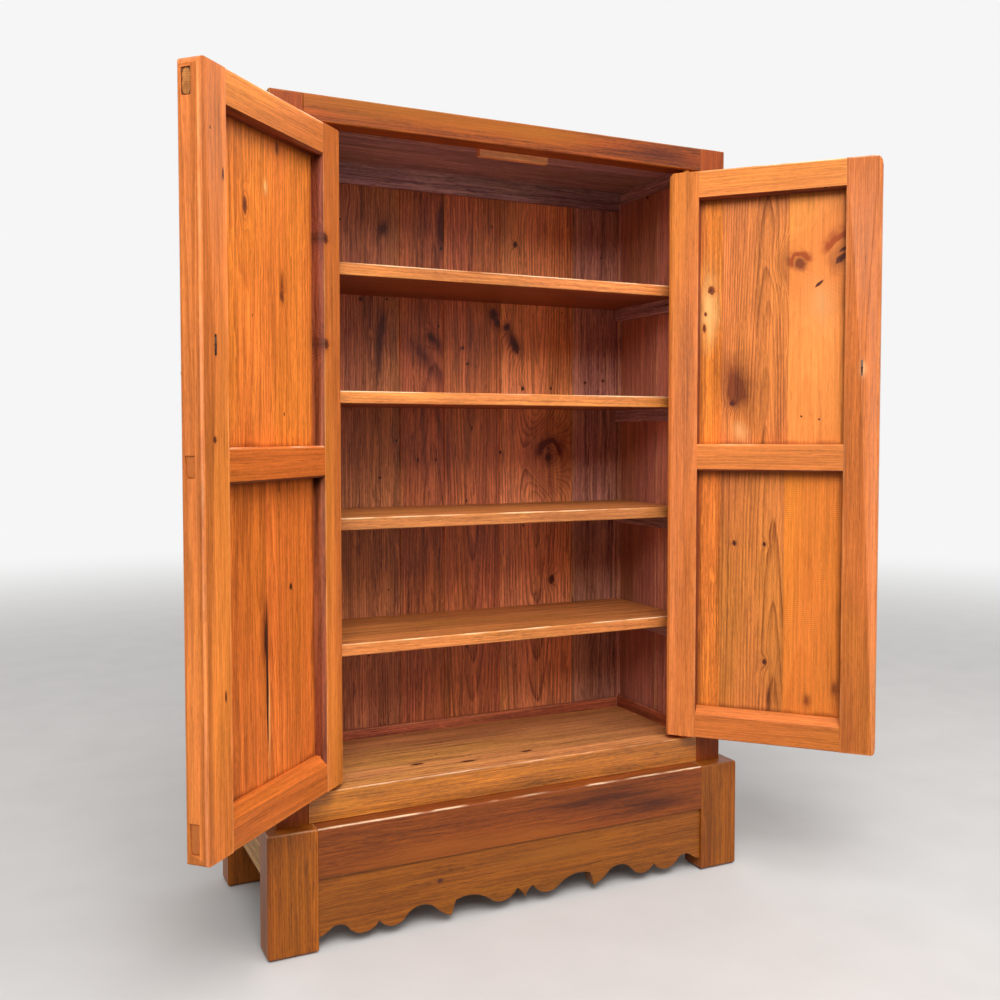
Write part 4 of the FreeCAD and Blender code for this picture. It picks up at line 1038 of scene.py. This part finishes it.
class AgedMetal:
    """Metal that is bright where it is rubbed and dull in patches, with a fine cast grain."""

    PATCHES = Patches((120.0, 120.0, 120.0), 0.38, 0.64, 4.0)
    GRAIN = (1500.0, 1500.0, 1500.0)
    RELIEF = (0.4, 0.0003)
    PATCH_RELIEF = -0.5
    PATCH_ROUGHNESS = 0.25

    @classmethod
    def material(cls, name: str, finish: MetalFinish) -> bpy.types.Material:
        """Material of one piece.

        Args:
            name: the material's name.
            finish: its colours and roughness.

        Returns:
            The new material.
        """
        material = bpy.data.materials.new(name)
        graph = Graph.bare(material)
        place = graph.place()
        patch = graph.patches(place, cls.PATCHES)
        height = patch.times(cls.PATCH_RELIEF, plus=graph.centred(place, cls.GRAIN))
        colour = graph.mix(patch, finish.bright, finish.dull)
        roughness = patch.times(cls.PATCH_ROUGHNESS, plus=finish.roughness)
        graph.shade(colour, roughness, height, cls.RELIEF, Metallic=1.0)
        return material


class Bench:
    """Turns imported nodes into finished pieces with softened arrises."""

    ARRIS = 0.0007
    FINE_ARRIS = 0.0004
    ARRIS_STEPS = 2
    TOP_BAND = 0.02
    TOP_ROUND = 0.0045
    TOP_STEPS = 4
    TOP_SLACK = 1e-4
    BROAD = 0.99
    UPWARD = 0.3
    WELD = 1e-6
    FLAT = math.radians(0.5)
    SHARP = math.radians(24)

    @classmethod
    def take(cls, node: str) -> bmesh.types.BMesh:
        """Closed copy of a node's mesh with its flat faces whole.

        Args:
            node: the node.

        Returns:
            The copy.
        """
        work = bmesh.new()
        work.from_mesh(frame["nodes"][node].data)
        bmesh.ops.remove_doubles(work, verts=work.verts, dist=cls.WELD)
        bmesh.ops.dissolve_limit(work, angle_limit=cls.FLAT, verts=work.verts, edges=work.edges)
        return work

    @classmethod
    def saw(cls, work: bmesh.types.BMesh, point: Vector, normal: Vector) -> None:
        """Cut away what lies beyond a plane and close the cut.

        Args:
            work: the mesh to cut.
            point: a point on the plane.
            normal: the side that is cut away.
        """
        whole = work.verts[:] + work.edges[:] + work.faces[:]
        bmesh.ops.bisect_plane(
            work, geom=whole, plane_co=point, plane_no=normal, clear_outer=True, dist=cls.WELD
        )
        rim = [edge for edge in work.edges if edge.is_boundary]
        bmesh.ops.holes_fill(work, edges=rim, sides=0)

    @classmethod
    def round_top(cls, work: bmesh.types.BMesh, facing: Vector, top: float) -> None:
        """Round off the arrises along the top of a door member.

        Args:
            work: the member's mesh.
            facing: normal of the door's face.
            top: height of the door's top.
        """
        ridges = []
        for edge in work.edges:
            if not edge.is_manifold or not edge.is_convex:
                continue
            broad = any(abs(face.normal.dot(facing)) > cls.BROAD for face in edge.link_faces)
            upward = any(face.normal.z > cls.UPWARD for face in edge.link_faces)
            low, high = sorted(vertex.co.z for vertex in edge.verts)
            if broad and upward and low > top - cls.TOP_BAND and high < top + cls.TOP_SLACK:
                ridges.append(edge)
        cls._bevel(work, ridges, cls.TOP_ROUND, cls.TOP_STEPS)

    @classmethod
    def ease(cls, work: bmesh.types.BMesh, arris: float) -> None:
        """Round off the sharp outer arrises.

        Args:
            work: the mesh.
            arris: width of the rounding.
        """
        outer = [edge for edge in work.edges if edge.is_manifold and edge.is_convex]
        sharp = [edge for edge in outer if edge.calc_face_angle() > cls.SHARP]
        cls._bevel(work, sharp, arris, cls.ARRIS_STEPS)

    @staticmethod
    def _bevel(work: bmesh.types.BMesh, edges: list, width: float, steps: int) -> None:
        """Bevel some edges with a round profile.

        Args:
            work: the mesh.
            edges: its edges to bevel.
            width: width of the bevel.
            steps: faces across it.
        """
        bmesh.ops.bevel(
            work,
            geom=edges,
            offset=width,
            offset_type="OFFSET",
            segments=steps,
            profile=0.5,
            affect="EDGES",
            material=-1,
            clamp_overlap=True,
        )

    @staticmethod
    def deliver(work: bmesh.types.BMesh, name: str, node: str) -> bpy.types.Object:
        """Make an object of a mesh, and let it ride and stand for its node.

        Args:
            work: the finished mesh, which is used up.
            name: the piece's name.
            node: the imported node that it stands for.

        Returns:
            The new object.
        """
        mesh = bpy.data.meshes.new(name)
        work.to_mesh(mesh)
        work.free()
        for polygon in mesh.polygons:
            polygon.use_smooth = True
        piece = bpy.data.objects.new(name, mesh)
        bpy.context.scene.collection.objects.link(piece)
        weighted = piece.modifiers.new("flat_faces", "WEIGHTED_NORMAL")
        weighted.keep_sharp = True
        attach(piece, BODY_OF_NODE[node])
        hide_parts(node)
        LOG.info("%s rides on %s", name, BODY_OF_NODE[node])
        return piece

    @classmethod
    def planed(
        cls, node: str, arris: float = ARRIS, facing: Union[Vector, None] = None, top: float = 0.0
    ) -> bpy.types.Object:
        """Finished copy of a node.

        Args:
            node: the node to copy.
            arris: width of its softened arrises.
            facing: normal of the face of a door whose top is rounded.
            top: height of that top.

        Returns:
            The new piece.
        """
        work = cls.take(node)
        if facing is not None:
            cls.round_top(work, facing, top)
        cls.ease(work, arris)
        return cls.deliver(work, "wood_" + node, node)

    @classmethod
    def planks(cls, node: str, across: Vector, cuts: Sequence[Vector]) -> list[bpy.types.Object]:
        """Boards that were glued up to one panel.

        Args:
            node: the panel's node.
            across: direction across the boards.
            cuts: a point on each seam, in the order of the direction.

        Returns:
            One piece per board.
        """
        pieces = []
        for number in range(len(cuts) + 1):
            work = cls.take(node)
            if number > 0:
                cls.saw(work, cuts[number - 1], -across)
            if number < len(cuts):
                cls.saw(work, cuts[number], across)
            cls.ease(work, cls.FINE_ARRIS)
            pieces.append(cls.deliver(work, f"wood_{node}_{number + 1}", node))
        return pieces


def board(
    node: str,
    axes: Matrix,
    finish: PineFinish,
    marks: Sequence[Placed] = (),
    stains: Sequence[Stain] = (),
    **planing: object,
) -> bpy.types.Object:
    """Make one board and dress it.

    Args:
        node: the board's node.
        axes: how its grain runs.
        finish: its stain.
        marks: placed marks.
        stains: other stains on some of its faces: a word for the name, the stain and which faces.
        planing: how its arrises are softened.

    Returns:
        The new piece.
    """
    piece = Bench.planed(node, **planing)
    timber = Timber(node, axes, finish, marks)
    timber.dress(piece)
    for stain in stains:
        timber.stain(piece, *stain)
    return piece


def on_front(node: str, marks: Iterable[Blemish]) -> list[Placed]:
    """Marks placed on the front of a node."""
    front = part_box(node)[0].y
    return [(Vector((mark.x, front, mark.z)), mark) for mark in marks]


@dataclass
class Stand:
    """Legs, rails and scalloped apron under the body."""

    finish: PineFinish = STAND
    leg_finish: PineFinish = STAND_LEG
    rail_finish: PineFinish = STAND_RED
    hidden_finish: PineFinish = BARE
    marks: Sequence[Blemish] = (
        Mark.STAIN.at((0.13, 0.138, 0.013, 7.0), (0.22, 0.116, 0.010, 6.0))
        + Mark.PALE.at((-0.14, 0.108, 0.011, 9.0), (0.02, 0.104, 0.009, 8.0), (0.05, 0.070, 0.010, 8.0))
        + Mark.KNOT.at((-0.13, 0.062, 0.0035, 1.4))
    )

    def build(self) -> None:
        """Make and dress every piece of the stand."""
        for end in ("front", "back"):
            for side in Side:
                board(f"base_leg_{end}_{side}", Grain.UPRIGHT.axes(), self.leg_finish)
        for node, finish in (
            ("base_front_rail", self.rail_finish),
            ("base_back_rail", self.finish),
            ("base_apron", self.finish),
        ):
            board(node, Grain.ACROSS.axes(), finish, on_front(node, self.marks))
        for side in Side:
            board(f"base_side_rail_{side}", Grain.DEEP.axes(), self.hidden_finish)


@dataclass
class Body:
    """Posts, rails, boards, level panels, shelves and stop."""

    SKIN: ClassVar[float] = 0.03
    FACING: ClassVar[float] = 0.5
    LEVEL: ClassVar[float] = 0.8
    post_finish: PineFinish = FRONT_POST
    top_finish: PineFinish = TOP_RAIL
    bottom_finish: PineFinish = BOTTOM_RAIL
    inner_finish: PineFinish = FRAME_INNER
    smoky_finish: PineFinish = TOP_PANEL
    outer_finish: PineFinish = OUTSIDE
    floor_finish: PineFinish = FLOOR_PANEL
    shelf_edges: Sequence[PineFinish] = (SHELF_EDGE, SHELF_EDGE_DULL, SHELF_EDGE, SHELF_EDGE)
    side_finishes: Sequence[PineFinish] = (SIDE_BOARD_PALE, SIDE_BOARD)
    back_finishes: Sequence[PineFinish] = (
        BACK_BROWN, BACK_BROWN, BACK_RED, BACK_WARM, BACK_AMBER, BACK_DARK,
    )
    front_marks: Sequence[Blemish] = Mark.PALE.at(
        (-0.20, 1.094, 0.016, 9.0), (0.02, 1.090, 0.012, 8.0)
    ) + Mark.STAIN.at((0.235, 1.082, 0.010, 7.0))
    floor_marks: Sequence[Blemish] = Mark.KNOT.at(
        (-0.055, -0.068, 0.0040, 3.5), (0.043, -0.061, 0.0035, 3.0), (-0.127, -0.050, 0.0040, 3.0),
        (-0.150, -0.085, 0.0025, 4.0),
    ) + Mark.SHADE.at((0.24, 0.005, 0.050, 2.2), (0.08, 0.070, 0.030, 6.0), (-0.25, 0.040, 0.035, 2.4))
    back_marks: Sequence[Blemish] = (
        Mark.KNOT.at(
            (-0.038, 0.822, 0.005, 1.6, -0.5), (0.072, 0.863, 0.008, 1.4, -0.3),
            (0.078, 0.850, 0.006, 1.4, -0.3), (0.096, 0.844, 0.006, 1.2, 0.4),
            (0.111, 0.814, 0.007, 2.2, -0.5), (0.173, 0.630, 0.006), (0.139, 0.362, 0.005, 2.0),
            (0.180, 0.424, 0.006), (-0.0185, 0.986, 0.0035, 2.5), (-0.1185, 0.985, 0.005, 1.3, 0.4),
            (0.111, 0.979, 0.0045, 1.3), (0.017, 0.807, 0.003, 1.2), (0.025, 0.782, 0.003, 1.0),
        )
        + Mark.STAIN.at(
            (-0.053, 0.792, 0.012, 3.2, -0.75), (-0.028, 0.812, 0.008, 3.0, -0.6),
            (0.106, 0.824, 0.010, 2.0, -0.5), (-0.0185, 0.985, 0.007, 6.0, 0.05),
            (-0.022, 1.010, 0.004, 7.0, 0.08), (-0.1185, 0.985, 0.012, 1.6, 0.3),
            (-0.120, 0.838, 0.009, 3.0, 0.1), (-0.125, 0.790, 0.006, 8.0, 0.08),
            (-0.010, 0.640, 0.004, 14.0),
        )
        + Mark.BURR.at((0.176, 0.632, 0.020, 1.3))
        + Mark.HOLE.at(
            (0.084, 0.639, 0.0030, 1.0), (-0.154, 0.876, 0.0035, 1.2), (-0.112, 0.878, 0.0030, 0.7),
            (0.125, 0.744, 0.0035, 1.2), (0.244, 0.756, 0.0030, 1.0), (0.279, 0.760, 0.0030, 1.0),
            (-0.124, 0.601, 0.0030, 1.0), (0.084, 0.333, 0.0030, 1.0),
        )
    )

    def __post_init__(self) -> None:
        """Read the body's low and high corner from its posts."""
        self.low, self.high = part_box("post_front_left")[0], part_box("post_back_right")[1]

    def build(self) -> None:
        """Make and dress every piece of the body."""
        for end, finish in (("front", self.post_finish), ("back", BACK_DARK)):
            for side in Side:
                self._board(f"post_{end}_{side}", Grain.UPRIGHT, finish)
        for level, finish, inner in (
            ("top", self.top_finish, self.smoky_finish),
            ("bottom", self.bottom_finish, self.inner_finish),
        ):
            self._front_rail(f"front_{level}_rail", finish)
            self._board(f"back_{level}_rail", Grain.ACROSS, inner)
            for side in Side:
                self._board(f"side_{level}_rail_{side}", Grain.DEEP, inner)
        for side in Side:
            for number, finish in enumerate(self.side_finishes, start=1):
                self._board(f"side_board_{side}_{number}", Grain.UPRIGHT_SIDE, finish)
        for number, finish in enumerate(self.back_finishes, start=1):
            self._back_board(f"back_board_{number}", finish)
        self._board("top_panel", Grain.ACROSS_FLAT, self.smoky_finish)
        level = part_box("floor_panel")[1].z
        placed = [(Vector((mark.x, mark.z, level)), mark) for mark in self.floor_marks]
        self._board("floor_panel", Grain.ACROSS_FLAT, self.floor_finish, placed)
        for number, finish in enumerate(self.shelf_edges, start=1):
            self._shelf(f"shelf_{number}", finish)
        self._board("shelf_cleats", Grain.DEEP, self.smoky_finish)
        self._board("door_stop", Grain.ACROSS, STOP)

    def _outside(self, middle: Vector, normal: Vector) -> bool:
        """Whether a face of a board lies on the outside of the body.

        Args:
            middle: the face's middle.
            normal: the face's normal.

        Returns:
            True on the outside.
        """
        return (
            (normal.x > self.FACING and middle.x > self.high.x - self.SKIN)
            or (normal.x < -self.FACING and middle.x < self.low.x + self.SKIN)
            or (normal.y > self.FACING and middle.y > self.high.y - self.SKIN)
            or (normal.z > self.FACING and middle.z > self.high.z - self.SKIN)
        )

    def _board(self, node: str, grain: Grain, finish: PineFinish, marks: Sequence[Placed] = ()) -> None:
        """Make and dress one board, with its own stain on the outside of the body."""
        board(node, grain.axes(), finish, marks, [("outside", self.outer_finish, self._outside)])

    def _front_rail(self, node: str, finish: PineFinish) -> None:
        """Make one front rail; the bottom one has the floor panel's paler stain on its upward faces.

        Args:
            node: the rail's node.
            finish: its stain.
        """
        # Upward faces of the bottom rail get the floor panel's paler stain.
        worn = ("top", self.floor_finish, lambda middle, normal: normal.z > self.LEVEL)
        stains = [worn] if finish is self.bottom_finish else []
        board(node, Grain.ACROSS.axes(), finish, on_front(node, self.front_marks), stains)

    def _shelf(self, node: str, edge: PineFinish) -> None:
        """Make one shelf with its own front edge and painted shade on its underside.

        Args:
            node: the shelf's node.
            edge: the stain on its front edge.
        """
        front = ("edge", edge, lambda middle, normal: normal.y < -self.FACING)
        # Painted shade on the downward faces.
        under = ("under", SHELF_UNDER_SHADE, lambda middle, normal: normal.z < -self.LEVEL)
        board(node, Grain.ACROSS_FLAT.axes(), SHELF, stains=[front, under])

    def _back_board(self, node: str, finish: PineFinish) -> None:
        """Make and dress one back board with the marks that lie on it.

        Args:
            node: the board's node.
            finish: its stain.
        """
        low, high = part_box(node)
        marks = [mark for mark in self.back_marks if low.x < mark.x < high.x]
        self._board(node, Grain.UPRIGHT, finish, on_front(node, marks))


@dataclass
class Door:
    """One framed door, standing open on its pivots.

    In the door's own face x runs from the pivot to the free edge and z up from the foot.
    """

    TENON_SHOWN: ClassVar[dict[str, float]] = {"top_rail": 1.0, "mid_rail": 0.05, "bottom_rail": 0.2}
    SQUARE: ClassVar[float] = 0.9
    BELOW: ClassVar[float] = -0.5
    EDGE_BAND: ClassVar[float] = 0.01
    END_BAND: ClassVar[float] = 0.003
    side: Side
    panels: dict[str, Sequence[PineFinish]]
    seams: dict[str, Sequence[float]]
    marks: Sequence[Blemish]
    stile_marks: Sequence[Blemish] = ()
    rails: Sequence[PineFinish] = (DOOR_FRAME, DOOR_RED, DOOR_RED)
    stile_finish: PineFinish = DOOR_STILE
    reveal: PineFinish = DOOR_REVEAL_STAIN_AND_SHADE
    end_grain: EndGrain = EndGrain()

    def __post_init__(self) -> None:
        """Read the pivot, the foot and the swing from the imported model."""
        joint = JOINTS[f"{self.side}_door_hinge"]
        sign = -1.0 if self.side is Side.LEFT else 1.0
        stile = f"{self.side}_door_free_stile"
        self.turn = sign * math.radians(joint["range_deg"][1])
        self.pivot = Vector(joint["pos_m"])
        self.pivot.z, self.top = (corner.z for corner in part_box(stile))
        spin = Matrix.Rotation(self.turn, 3, "Z")
        self.reach = spin @ Vector((-sign, 0.0, 0.0))
        self.inward = spin @ Vector((0.0, 1.0, 0.0))
        self.free_edge = max(self._out(vertex.co) for vertex in frame["nodes"][stile].data.vertices)
        self.planing = {"arris": Bench.FINE_ARRIS, "facing": self.inward, "top": self.top}

    def _out(self, point: Vector) -> float:
        """How far a point lies from the pivot towards the free edge."""
        return (point - self.pivot).dot(self.reach)

    def _spot(self, x: float, z: float) -> Vector:
        """Place in the cabinet of a point of the door's face."""
        return self.pivot + self.reach * x + UP * z

    def _placed(self, marks: Sequence[Blemish]) -> list[Placed]:
        """Marks placed on the door's face."""
        return [(self._spot(mark.x, mark.z), mark) for mark in marks]

    def build(self) -> None:
        """Make and dress every piece of the door."""
        self._stile("hinge_stile", 1.0)
        self._stile("free_stile", -1.0)
        for part, finish in zip(self.TENON_SHOWN, self.rails):
            self._rail(part, finish)
        for part, finishes in self.panels.items():
            self._panel(f"{self.side}_door_{part}", finishes, self.seams[part])

    def _stile(self, part: str, sight: float) -> None:
        """Make and dress one stile, dark on its sight side.

        Args:
            part: the stile's name within the door.
            sight: 1 where the sight side faces the free edge, -1 where it faces the pivot.
        """

        def in_sight(middle: Vector, normal: Vector) -> bool:
            """Whether a face lies on the sight side."""
            at_free_edge = self.free_edge - self._out(middle) < self.EDGE_BAND
            return sight * normal.dot(self.reach) > self.SQUARE and not at_free_edge

        board(
            f"{self.side}_door_{part}",
            Grain.UPRIGHT.axes(self.turn),
            self.stile_finish,
            self._placed(self.stile_marks),
            [("reveal", self.reveal, in_sight)],
            **self.planing,
        )

    def _at_end(self, middle: Vector, normal: Vector) -> bool:
        """Whether a face of a rail is the end of its through tenon."""
        near = self.free_edge - self._out(middle) < self.END_BAND
        return near and normal.dot(self.reach) > self.SQUARE

    def _rail(self, part: str, finish: PineFinish) -> None:
        """Make and dress one rail, with dark stain and painted shade below, and a worn end on its through tenon.

        Args:
            part: the rail's name within the door.
            finish: its stain.
        """
        node = f"{self.side}_door_{part}"
        # Downward faces get the dark reveal stain, which also paints the shade under the rail.
        below = ("reveal", self.reveal, lambda middle, normal: normal.z < self.BELOW)
        stains = [] if part == "bottom_rail" else [below]
        piece = board(node, Grain.ACROSS.axes(self.turn), finish, stains=stains, **self.planing)
        mesh = piece.data
        axes = Matrix((self.inward, UP, self.inward.cross(UP)))
        ends = [polygon for polygon in mesh.polygons if self._at_end(polygon.center, polygon.normal)]
        low, high = corners(axes @ mesh.vertices[index].co for end in ends for index in end.vertices)
        half = ((high - low) / 2)[:2]
        material = self.end_grain.material(
            f"end_{node}", axes, (low + high) / 2, half, self.TENON_SHOWN[part]
        )
        paint_faces(piece, material, self._at_end)

    def _panel(self, node: str, finishes: Sequence[PineFinish], seams: Sequence[float]) -> None:
        """Make and dress the boards of one panel.

        Args:
            node: the panel's node.
            finishes: one finish per board, from the pivot outwards.
            seams: where the boards meet, from the pivot outwards.
        """
        pieces = Bench.planks(node, self.reach, [self._spot(seam, 0.0) for seam in seams])
        axes, whole = Grain.UPRIGHT.axes(self.turn), frame["nodes"][node].data
        for piece, finish in zip(pieces, finishes):
            Timber(piece.name, axes, finish, self._placed(self.marks), whole).dress(piece)


@dataclass
class Pull:
    """Plate, split pin and drop on a door's free stile."""

    side: Side
    brass: MetalFinish = BRASS
    iron: MetalFinish = IRON

    def build(self) -> None:
        """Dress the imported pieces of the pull."""
        for part, finish in (("plate", self.brass), ("pin", self.iron), ("drop", self.brass)):
            node = f"{self.side}_pull_{part}"
            piece = frame["nodes"][node]
            piece.data.materials.clear()
            piece.data.materials.append(AgedMetal.material(f"aged_{node}", finish))
            LOG.info("%s dressed", node)


@dataclass(frozen=True)
class Lamp:
    """Soft square lamp: where it stands, what it faces, the length of its sides and its watts."""

    name: str
    place: Place
    aim: Place
    size: float
    power: float

    def build(self) -> None:
        """Set up the lamp."""
        light = bpy.data.lights.new(self.name, "AREA")
        light.shape = "SQUARE"
        light.size = self.size
        light.energy = self.power
        holder = bpy.data.objects.new(self.name, light)
        holder.location = self.place
        holder.rotation_euler = (Vector(self.aim) - Vector(self.place)).to_track_quat("-Z", "Y").to_euler()
        bpy.context.scene.collection.objects.link(holder)


@dataclass
class Studio:
    """Floor, soft lamps, sky and the camera at the photograph's angle."""

    FLOOR_SIDES: ClassVar[int] = 96
    MOTTLE: ClassVar[tuple] = ((9.0, 9.0, 9.0), 5.0)
    MOTTLE_TONE: ClassVar[float] = 0.88
    FLOOR_ROUGHNESS: ClassVar[float] = 0.85
    FLOOR_GLOSS: ClassVar[float] = 0.1
    camera_place: Place = (-0.67055, -1.45688, 0.66806)
    camera_yaw: float = 25.64
    camera_pitch: float = -2.42
    camera_shift: float = -0.0205
    focal_pixels: float = 1061.84
    image_pixels: float = 1000.0
    sensor: float = 36.0
    lamps: Sequence[Lamp] = (
        Lamp("key", (-0.9, -2.6, 2.6), (0.05, -0.1, 0.85), 1.6, 79.0),
        Lamp("fill", (2.2, -2.9, 1.6), (0.0, -0.1, 0.7), 2.2, 21.0),
        Lamp("top", (-0.2, -1.5, 2.9), (0.0, -0.2, 0.9), 2.0, 45.0),
    )
    floor_radius: float = 14.0
    floor_colour: Colour = (0.60, 0.585, 0.57)
    floor_bounce: Colour = (0.30, 0.28, 0.26)
    floor_fade: Span = (1.6, 5.0)
    backdrop: float = 0.92
    sky_low: float = 0.12
    sky_high: float = 0.75
    sky_rise: Span = (-0.1, 0.8)

    def build(self) -> None:
        """Make the floor, the light and the camera."""
        self._floor()
        self._sky()
        for lamp in self.lamps:
            lamp.build()
        self._camera()

    @staticmethod
    def _shown(graph: Graph) -> Signal:
        """Whether a ray shows the surface, instead of carrying its light to the wood.

        Args:
            graph: where the nodes go.

        Returns:
            1 for such a ray, else 0.
        """
        path = graph.add("LightPath")
        camera, glossy, through = (
            Signal(graph, path.outputs[f"Is {ray} Ray"]) for ray in ("Camera", "Glossy", "Transmission")
        )
        return graph.maths("MAXIMUM", graph.maths("MAXIMUM", camera, glossy), through)

    def _floor(self) -> None:
        """Lay a pale floor, faintly mottled, that melts into the backdrop away from the cabinet."""
        work = bmesh.new()
        bmesh.ops.create_circle(work, cap_ends=True, segments=self.FLOOR_SIDES, radius=self.floor_radius)
        mesh = bpy.data.meshes.new("floor")
        work.to_mesh(mesh)
        work.free()
        floor = bpy.data.objects.new("floor", mesh)
        bpy.context.scene.collection.objects.link(floor)
        material = bpy.data.materials.new("pale_floor")
        graph = Graph.bare(material)
        place = graph.place()
        darker = tuple(self.MOTTLE_TONE * part for part in self.floor_colour)
        pale = graph.mix(graph.noise(place, *self.MOTTLE), self.floor_colour, darker)
        shown = self._shown(graph)
        matt = {
            "Base Color": graph.mix(shown, self.floor_bounce, pale),
            "Roughness": self.FLOOR_ROUGHNESS,
            "Specular IOR Level": self.FLOOR_GLOSS,
        }
        far = graph.fade(graph.vector("LENGTH", place, output="Value"), *self.floor_fade)
        surface = graph.get("BsdfPrincipled", matt)
        haze = graph.get("Emission", {"Strength": self.backdrop})
        graph.add("OutputMaterial", {"Surface": graph.get("MixShader", (far * shown, surface, haze))})
        mesh.materials.append(material)

    def _sky(self) -> None:
        """Give soft light from overhead, and an even pale backdrop to the camera."""
        world = bpy.data.worlds.new("studio")
        bpy.context.scene.world = world
        graph = Graph.bare(world)
        shown = self._shown(graph)
        _, _, height = graph.split(graph.get("TexCoord", output="Generated"))
        glow = graph.fade(height, *self.sky_rise).times(self.sky_high - self.sky_low, plus=self.sky_low)
        strength = shown.times(self.backdrop, plus=(1.0 - shown) * glow)
        white = {"Color": (1.0, 1.0, 1.0, 1.0), "Strength": strength}
        graph.add("OutputWorld", {"Surface": graph.get("Background", white)})

    def _camera(self) -> None:
        """Set up the camera at the photograph's place and angle."""
        lens = bpy.data.cameras.new("camera")
        lens.sensor_width = self.sensor
        lens.lens = self.sensor * self.focal_pixels / self.image_pixels
        lens.shift_y = self.camera_shift
        camera = bpy.data.objects.new("camera", lens)
        camera.location = self.camera_place
        camera.rotation_euler = (math.radians(90 + self.camera_pitch), 0.0, -math.radians(self.camera_yaw))
        bpy.context.scene.collection.objects.link(camera)
        bpy.context.scene.camera = camera
        bpy.context.scene.view_settings.view_transform = "Standard"


def left_door() -> Door:
    """The left door with its marks.

    Returns:
        The door.
    """
    return Door(
        Side.LEFT,
        panels={"upper_panel": (DOOR_PANEL,), "lower_panel": (DOOR_PANEL_LOW, DOOR_PANEL_LOW)},
        seams={"upper_panel": (), "lower_panel": (0.135,)},
        marks=Mark.KNOT.at(
            (0.1734, 0.7186, 0.005, 2.4), (0.0962, 0.6248, 0.0045, 1.7, 0.2), (0.105, 0.799, 0.003, 3.0),
            (0.081, 0.2723, 0.0035, 1.3),
        )
        + Mark.PALE.at((0.1304, 0.7483, 0.003, 2.4), (0.1322, 0.140, 0.0016, 40.0))
        + Mark.STAIN.at((0.0955, 0.640, 0.005, 3.0), (0.1384, 0.215, 0.009, 5.0))
        + Mark.HOLE.at((0.1384, 0.2147, 0.0026, 9.0), (0.1356, 0.175, 0.0028, 36.0)),
        stile_marks=Mark.KNOT.at(
            (0.0222, 0.7061, 0.0085, 0.9), (0.0222, 0.5737, 0.0085, 0.9), (0.2611, 0.4535, 0.0035, 1.2)
        )
        + Mark.HOLE.at((0.2413, 0.7364, 0.002, 4.0), (0.2463, 0.1755, 0.002, 4.0)),
    )


def right_door() -> Door:
    """The right door with its marks.

    Returns:
        The door.
    """
    return Door(
        Side.RIGHT,
        panels={
            "upper_panel": (DOOR_PANEL, DOOR_BROWN, DOOR_LIGHT),
            "lower_panel": (DOOR_PANEL, DOOR_BROWN_LOW, DOOR_LIGHT_LOW),
        },
        seams={"upper_panel": (0.0575, 0.1546), "lower_panel": (0.0575, 0.1515)},
        marks=Mark.KNOT.at(
            (0.0414, 0.6751, 0.006, 1.2), (0.0314, 0.6189, 0.003, 2.4), (0.033, 0.640, 0.0025, 1.5),
            (0.0741, 0.5058, 0.005, 1.0), (0.227, 0.712, 0.005, 2.2, -0.9),
            (0.232, 0.726, 0.0025, 4.0, -1.1), (0.1971, 0.6773, 0.0025, 3.4, -0.9),
            (0.079, 0.2961, 0.0034), (0.1231, 0.2962, 0.0028), (0.125, 0.1197, 0.0034),
        )
        + Mark.PALE.at(
            (0.038, 0.645, 0.012, 4.0), (0.0863, 0.464, 0.010, 1.6, 0.3), (0.200, 0.650, 0.016, 2.0)
        )
        + Mark.STAIN.at(
            (0.0812, 0.5384, 0.022, 1.9, 0.3), (0.078, 0.522, 0.012, 1.6), (0.1701, 0.708, 0.008, 1.0),
            (0.131, 0.066, 0.0035, 5.0), (0.1866, 0.067, 0.0055, 1.8), (0.2255, 0.088, 0.0050, 2.2),
        )
        + Mark.BURR.at((0.1705, 0.707, 0.013, 1.2, 0.3), (0.2241, 0.713, 0.022, 1.5, -0.45))
        + Mark.HOLE.at((0.1741, 0.4857, 0.0018, 1.0), (0.1994, 0.4812, 0.0018, 1.0)),
        stile_marks=Mark.PALE.at((0.2598, 0.5527, 0.0042, 2.2)),
        rails=(DOOR_PALE, DOOR_PALE, DOOR_STILE),
    )


def main() -> None:
    """Build every sub-assembly in order, then the studio."""
    logging.basicConfig(level=logging.INFO, format="%(name)s: %(message)s")
    pulls = [Pull(side) for side in Side]
    for assembly in (Stand(), Body(), left_door(), right_door(), *pulls, Studio()):
        assembly.build()


if __name__ == "__main__":
    main()
